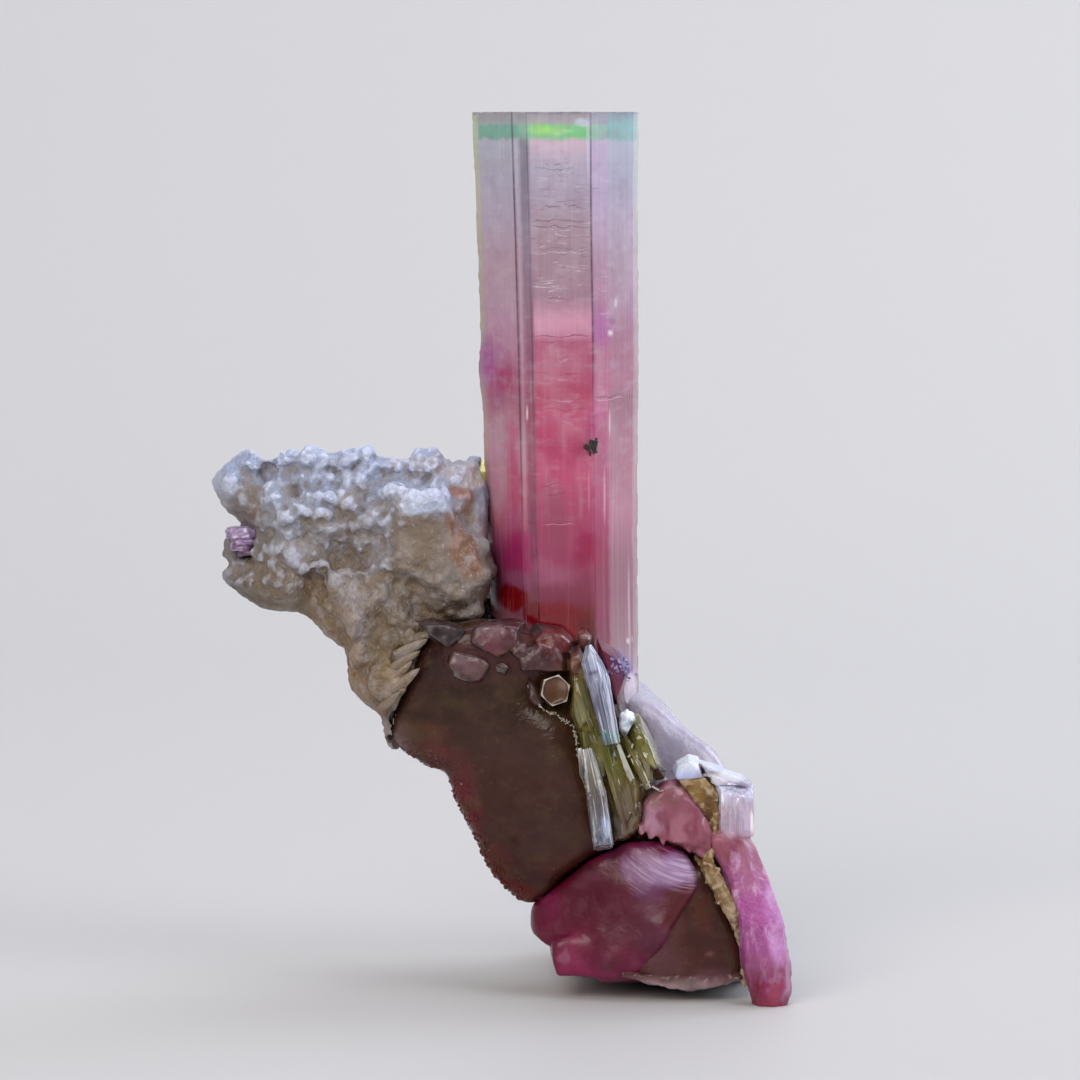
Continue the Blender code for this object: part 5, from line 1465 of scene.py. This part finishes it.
FOOT_SHARDS = {  # outline, back, front, share in front and colour
    "plum flake": (
        ((-9.0, 37.6), (-7.0, 37.9), (-5.0, 37.5), (-3.0, 36.9), (-3.0, 35.6), (-5.4, 34.6), (-7.2, 35.8)),
        -0.2, -2.9, 0.7, "#3a1e24"),
    "lilac lump": (
        ((-4.0, 35.6), (-3.4, 37.2), (-1.4, 37.7), (0.6, 37.9), (2.4, 37.5), (2.3, 35.8), (0.9, 34.1),
         (-0.5, 33.6), (-2.4, 34.6)),
        -0.4, -3.7, 0.72, "#6e444e"),
    "pale lump": (
        ((-5.4, 35.2), (-3.4, 34.9), (-1.6, 34.4), (-0.4, 33.5), (-0.6, 32.5), (-1.8, 31.4), (-3.9, 31.1),
         (-5.5, 31.9), (-6.0, 33.6)),
        -0.8, -3.6, 0.7, "#6c5254"),
    "maroon shard": (
        ((0.8, 34.2), (2.2, 35.6), (4.0, 36.0), (5.9, 35.4), (6.8, 33.9), (6.9, 32.4), (5.2, 32.2),
         (3.1, 32.3), (1.4, 32.6)),
        -0.8, -3.5, 0.72, "#50181e"),
    "lilac chip": (
        ((0.4, 35.4), (1.6, 36.2), (2.8, 35.8), (2.9, 34.4), (1.8, 33.6), (0.6, 34.2)),
        -1, -3.7, 0.6, "#54342e"),
    "pale chip": (
        ((2.3, 32.6), (3.0, 32.2), (3.6, 30.4), (4.4, 29.2), (3.4, 28.9), (2.5, 29.9)),
        -1.5, -4.1, 0.6, "#54423a"),
    "orange chip": (
        ((6.6, 34.6), (7.6, 35.2), (8.2, 34.0), (7.9, 32.2), (7.0, 31.4), (6.6, 32.8)),
        -1.2, -4.0, 0.6, "#6c4626"),
    "grey chip": (
        ((7.4, 36.4), (8.2, 36.8), (8.9, 36.0), (8.6, 35.0), (7.6, 34.8)),
        -0.2, -2.6, 0.6, "#6a4444"),
    "red shard": (
        ((2.0, 35.8), (3.4, 37.4), (6.0, 37.0), (7.6, 35.6), (7.2, 34.0), (4.6, 33.6)),
        -0.4, -3.2, 0.6, "#70101e"),
    "olive crumb": (
        ((-1.2, 33.6), (0.2, 34.0), (1.0, 33.2), (0.4, 32.2), (-0.9, 32.4)),
        -1.4, -3.9, 0.6, "#4c3c2a"),
}

# Foot crust: the shards in one skin, each in its own colour.
crust, shard_colours = bmesh.new(), []
for outline, back, front, share, code in FOOT_SHARDS.values():
    join(crust, chip(outline, back, front, share, 0.06))
    x, z = [sum(values) / len(outline) for values in zip(*outline)]
    shard_colours.append((code, (x, front, z), (1.9, 3, 1.5), 0.35, 0.9))
crust = relief(fused(crust, 0.11, 1), (0.25, 1.5), (0.02, 0.5), seed=4)
crust = put("foot_crust", crust, LAVENDER_GRAIN, "lavender_grain", "foot_shards", sharp=25)
paint(crust, "#402722", shard_colours + [
    ("#49331f", (-3.6, -3, 31.7), (2.4, 3, 0.8), 0.5, 0.8),
    ("#887175", (-0.9, -3.8, 36.9), (1.1, 1.2, 0.6), 0.6, 0.8),
    ("#7a6567", (-4.2, -3.6, 34.2), (0.9, 1.5, 0.7), 0.5, 0.8),
    ("#6f5357", (-2.6, -3.6, 33.2), (1.1, 1.5, 0.8)), ("#5b2938", (1.2, -3, 36.4), (1.2, 2, 1.0), 0.5, 0.6),
    ("#764029", (-0.6, -3.4, 34.6), (0.7, 2, 0.3), 0.6, 0.7), ("#410d14", (4.2, -3, 34.6), (2.0, 2, 0.8)),
    ("#593520", (5.9, -3, 32.9), (1.0, 2, 0.8)), ("#765029", (7.2, -3.6, 33.6), (0.6, 2, 0.9), 0.5, 0.8),
    ("#734b48", (8.0, -2, 36.0), (0.6, 2, 0.6), 0.5, 0.8),
], drift=0.6, wave=0.8)

MICA_SHEETS = ((43.9, 0.5, 0.3), (44.5, 0.75, -0.2), (45.1, 0.9, 0.25), (45.75, 1.0, 0), (46.3, 1.0, -0.1))

# Mica book: six-sided sheets, each by its height, size and shift, and each turned a little.
mica = bmesh.new()
for k, (height, size, shift) in enumerate(MICA_SHEETS):
    tilt = Matrix.Rotation(-0.06 + 0.03 * math.sin(k * 1.7), 4, "Y")
    turn = Matrix.Rotation(0.3 + 0.15 * math.sin(k * 3.1), 4, "Z")
    place = Matrix.Translation((-26.1 + shift, 5.2, height)) @ tilt @ turn
    bmesh.ops.create_cone(mica, cap_ends=True, segments=6, radius1=1.95 * size, radius2=1.8 * size,
                          depth=0.56, matrix=place)
mica = relief(fused(mica, 0.1, 1), (0.2, 1.2), (0.08, 0.4))
mica = put("mica_sheets", mica, LAVENDER_MICA, "lavender_mica", "mica_book", sharp=30)
# Lighter towards the top sheet, partly painted top light.
paint(mica, ((43.6, "#664e60"), (44.8, "#795f81"), (45.6, "#8c769c"), (46.5, "#a293b3")), drift=0.2)

OCHRE_PATH = (
    ((17.9, -4.6, 21.7), 0.6), ((19.6, -4.4, 21.8), 0.9), ((20.9, -4.6, 20.2), 0.9),
    ((21.3, -5.0, 17.8), 0.7), ((20.9, -5.4, 15.6), 0.5), ((20.3, -6.3, 14.0), 0.8),
    ((21.3, -6.6, 11.9), 1.0), ((22.6, -6.9, 9.6), 1.0), ((23.2, -6.6, 7.8), 0.6), ((23.8, -6.3, 5.6), 0.3),
    ((24.1, -6.0, 1.8), 0.25),
)
CRUMBS = ((0.10, 1.1), (0.05, 0.45))  # depth and width
OCHRE_PATCH = (
    (17.4, 21.7), (19.2, 22.4), (21.0, 22.0), (22.0, 20.6), (22.0, 17.0), (21.0, 16.8), (20.4, 18.0),
    (19.4, 19.9), (18.4, 21.0))
OCHRE_FOOT = (
    (19.0, 14.4), (20.2, 15.2), (21.0, 13.8), (22.4, 11.4), (24.4, 9.6), (23.6, 8.2), (22.4, 8.8),
    (20.8, 11.4), (19.6, 12.6))

# Ochre seam: a crumbly cord of clay between the crystals, with a patch above and a foot below.
ochre = crystal([(centre, radius * 0.85) for centre, radius in OCHRE_PATH], 7, 0.0, seed=2)
for centre, radius, _ in along(OCHRE_PATH, 0.14):
    for _ in range(3):
        spot = centre + stray(chance, 0.42) * radius
        size = chance.uniform(0.12, 0.34)
        lump(ochre, spot, (size, size * 0.8, size), 1)
join(ochre, chip(OCHRE_PATCH, -2.4, -4.9, 0.75, 0.2), chip(OCHRE_FOOT, -4.0, -7.0, 0.6, 0.15))
ochre = nodules(fused(ochre, 0.15, 2),
                *[(depth, width, width, lambda spot, out: 1) for depth, width in CRUMBS])
ochre = put("ochre_seam_crust", ochre, OCHRE, "ochre_seam", "ochre_seam", sharp=60)
mark_hollows(ochre, 0.2, 10)
paint(ochre, ((1, "#8a6a70"), (4, "#8a6c6c"), (7, "#86685c"), (9.5, "#7f6648"), (12, "#86704f"),
              (14, "#7a6038"),
              (18, "#84683e"), (21, "#8a7046")), (
    ("#b3a284", (22.6, -7.5, 9.2), (0.9, 2, 0.7), 0.5, 0.6), ("#5c4223", (20.6, -5, 19.2), (0.8, 2, 2.0)),
), drift=0.6, wave=0.8)

PEARLY_RIDGE = (
    (19.3, 23.9), (21.5, 23.2), (24.0, 22.2), (25.1, 21.4), (24.8, 20.9), (23.0, 21.6), (21.0, 22.5),
    (19.6, 23.1))
PEARLY = (  # outline, back and front
    (((16.9, 22.5), (17.3, 23.5), (18.6, 24.2), (19.6, 24.0), (19.5, 23.1), (20.2, 22.2), (19.1, 22.1),
      (18.0, 21.8),
      (17.2, 22.0)), -1.0, -4.9),
    (((19.8, 23.5), (21.5, 22.9), (22.6, 22.5), (22.0, 21.7), (20.9, 21.9), (20.2, 22.4)), -1.0, -4.4),
    (((20.6, 22.6), (22.4, 22.4), (22.6, 21.8), (21.4, 21.2), (20.6, 21.6)), -1.4, -4.7),
)

# Pearly crystals: broken bright lumps, with a ridge that runs down to the side tourmaline.
pearly = bmesh.new()
join(pearly, *[chip(*body, 0.82, 0.06) for body in PEARLY], chip(PEARLY_RIDGE, -1.6, -4.6, 0.8, 0.06))
pearly = relief(fused(pearly, 0.09), (0.06, 1.0), (0.02, 0.3))
pearly = put("pearly_crystals", pearly, PALE_QUARTZ, "pale_quartz", "pearly_crystal", sharp=35)
# Lighter and bluer towards the top, partly painted cool top light.
paint(pearly, ((21.6, "#a8a0b8"), (22.6, "#bfc8ef"), (23.5, "#e2ecff"), (24.4, "#f2fcff")), (
    ("#8a7352", (20.8, -4, 22.6), (0.9, 3, 0.35), 0.4, 0.8),
    ("#f0f6ff", (22.8, -4, 22.4), (2.6, 3, 0.5), 0.5, 0.8), ("#9a8a88", (19.8, -4, 22.6), (0.5, 3, 0.9)),
    ("#e6e0e8", (21.6, -4.6, 21.8), (0.9, 2, 0.35), 0.5, 0.8),
), drift=0.3)

# Pale wavy rim, along the foot of the brown face.
RIM_OUTLINE = (
    (11.4, 3.2), (13.6, 3.1), (15.2, 2.8), (17.2, 2.3), (19.4, 2.4), (21.2, 2.5), (23.0, 2.8), (24.4, 3.1),
    (24.2, 2.3), (22.4, 1.7), (21.2, 1.8), (20.0, 1.3), (18.8, 0.9), (17.6, 1.5), (16.2, 1.4), (14.6, 2.0),
    (13.0, 2.0), (11.6, 2.5),
)
rim = chip(RIM_OUTLINE, -1.6, -6.35, 0.95, 0.12)
rim = relief(fused(rim, 0.16, 1), (0.3, 1.4), (0.1, 0.5))
rim = put("pale_wavy_rim", rim, SMOKY_QUARTZ, "smoky_quartz", sharp=50)
# Lighter at the lower edge, painted for light that comes through the thin edge; darker towards the top, into
# the brown face.
paint(rim, ((1.0, "#b8a2a6"), (1.8, "#a89296"), (2.4, "#806468"), (3.0, "#523a3a")), (
    ("#7c4456", (12.6, -4, 3.4), (1.4, 3, 0.8), 0.5, 0.6),
    ("#b09a9e", (18.6, -5, 2.0), (1.6, 3, 0.4), 0.6, 0.7),
), drift=0.4)


# ---------------------------------------------------------------- floor, light and camera

SWEEP_NEAR, SWEEP_LENGTH = -0.9, 2.4  # of the floor and the backdrop it curves up into, in metres
SWEEP_BEND = 0.3  # where it starts to curve
LAMPS = (  # name, place in the drawing, width in metres, power in watts and colour
    ("overhead", (80, 160, 1250), 0.9, 8.5, "#eaf1ff"),
    ("front", (-620, -1300, 860), 1.0, 17.5, "#fff6ee"),
    ("right", (1250, -650, 620), 0.9, 12.0, "#f2f5ff"),
    ("behind_right", (900, 560, 420), 0.6, 6.0, "#e6efff"),
)
LIT_POINT = (4, 4, 44)
EYE, LOOK_DOWN, LENS = (3.75, -500, 87.07), 4.74, 167.2  # the camera's place, degrees and mm


def sweep():
    """A pale floor that curves up into a backdrop."""
    mesh = bmesh.new()
    bmesh.ops.create_grid(mesh, x_segments=2, y_segments=60, size=1)
    for vert in mesh.verts:
        run = (vert.co.y + 1) / 2 * SWEEP_LENGTH + SWEEP_NEAR
        lift = max(0.0, run - SWEEP_BEND)
        back = min(run, SWEEP_BEND + 0.45 * math.sin(min(lift / 0.6, 1.0) * math.pi / 2))
        vert.co = (vert.co.x * 2, back, 1.1 * lift * lift)
    data = bpy.data.meshes.new("floor")
    mesh.to_mesh(data)
    mesh.free()
    data.shade_smooth()
    plain = bpy.data.materials.new("plain_pale_floor")
    plain.use_nodes = True
    shader = plain.node_tree.nodes["Principled BSDF"]
    shader.inputs["Base Color"].default_value = (*colour("#c3c1bf"), 1)
    shader.inputs["Roughness"].default_value = 0.55
    data.materials.append(plain)
    floor = bpy.data.objects.new("floor", data)
    bpy.context.scene.collection.objects.link(floor)


def lamps():
    """A cool softbox overhead, a warm one in front and two cool ones on the right, in a dim pale room."""
    for name, place, wide, power, tint in LAMPS:
        lamp = bpy.data.lights.new(name, "AREA")
        lamp.shape = "SQUARE"
        lamp.size = wide
        lamp.energy = power
        lamp.color = colour(tint)
        lit = bpy.data.objects.new(name, lamp)
        lit.location = at(*place)
        lit.rotation_euler = (at(*LIT_POINT) - lit.location).to_track_quat("-Z", "Y").to_euler()
        bpy.context.scene.collection.objects.link(lit)
    world = bpy.data.worlds.new("studio")
    world.use_nodes = True
    room = world.node_tree.nodes["Background"]
    room.inputs["Color"].default_value = (*colour("#dfe3ea"), 1)
    room.inputs["Strength"].default_value = 0.3
    bpy.context.scene.world = world
    bpy.context.scene.view_settings.view_transform = "Standard"


def camera():
    """A long lens in front, a little above the prism's middle and looking slightly down."""
    eye = bpy.data.objects.new("camera", bpy.data.cameras.new("camera"))
    eye.location = at(*EYE)
    eye.rotation_euler = (math.radians(90 - LOOK_DOWN), 0, 0)
    eye.data.lens = LENS
    eye.data.sensor_width = 36
    eye.data.clip_start = 0.01
    bpy.context.scene.collection.objects.link(eye)
    bpy.context.scene.camera = eye


sweep()
lamps()
camera()
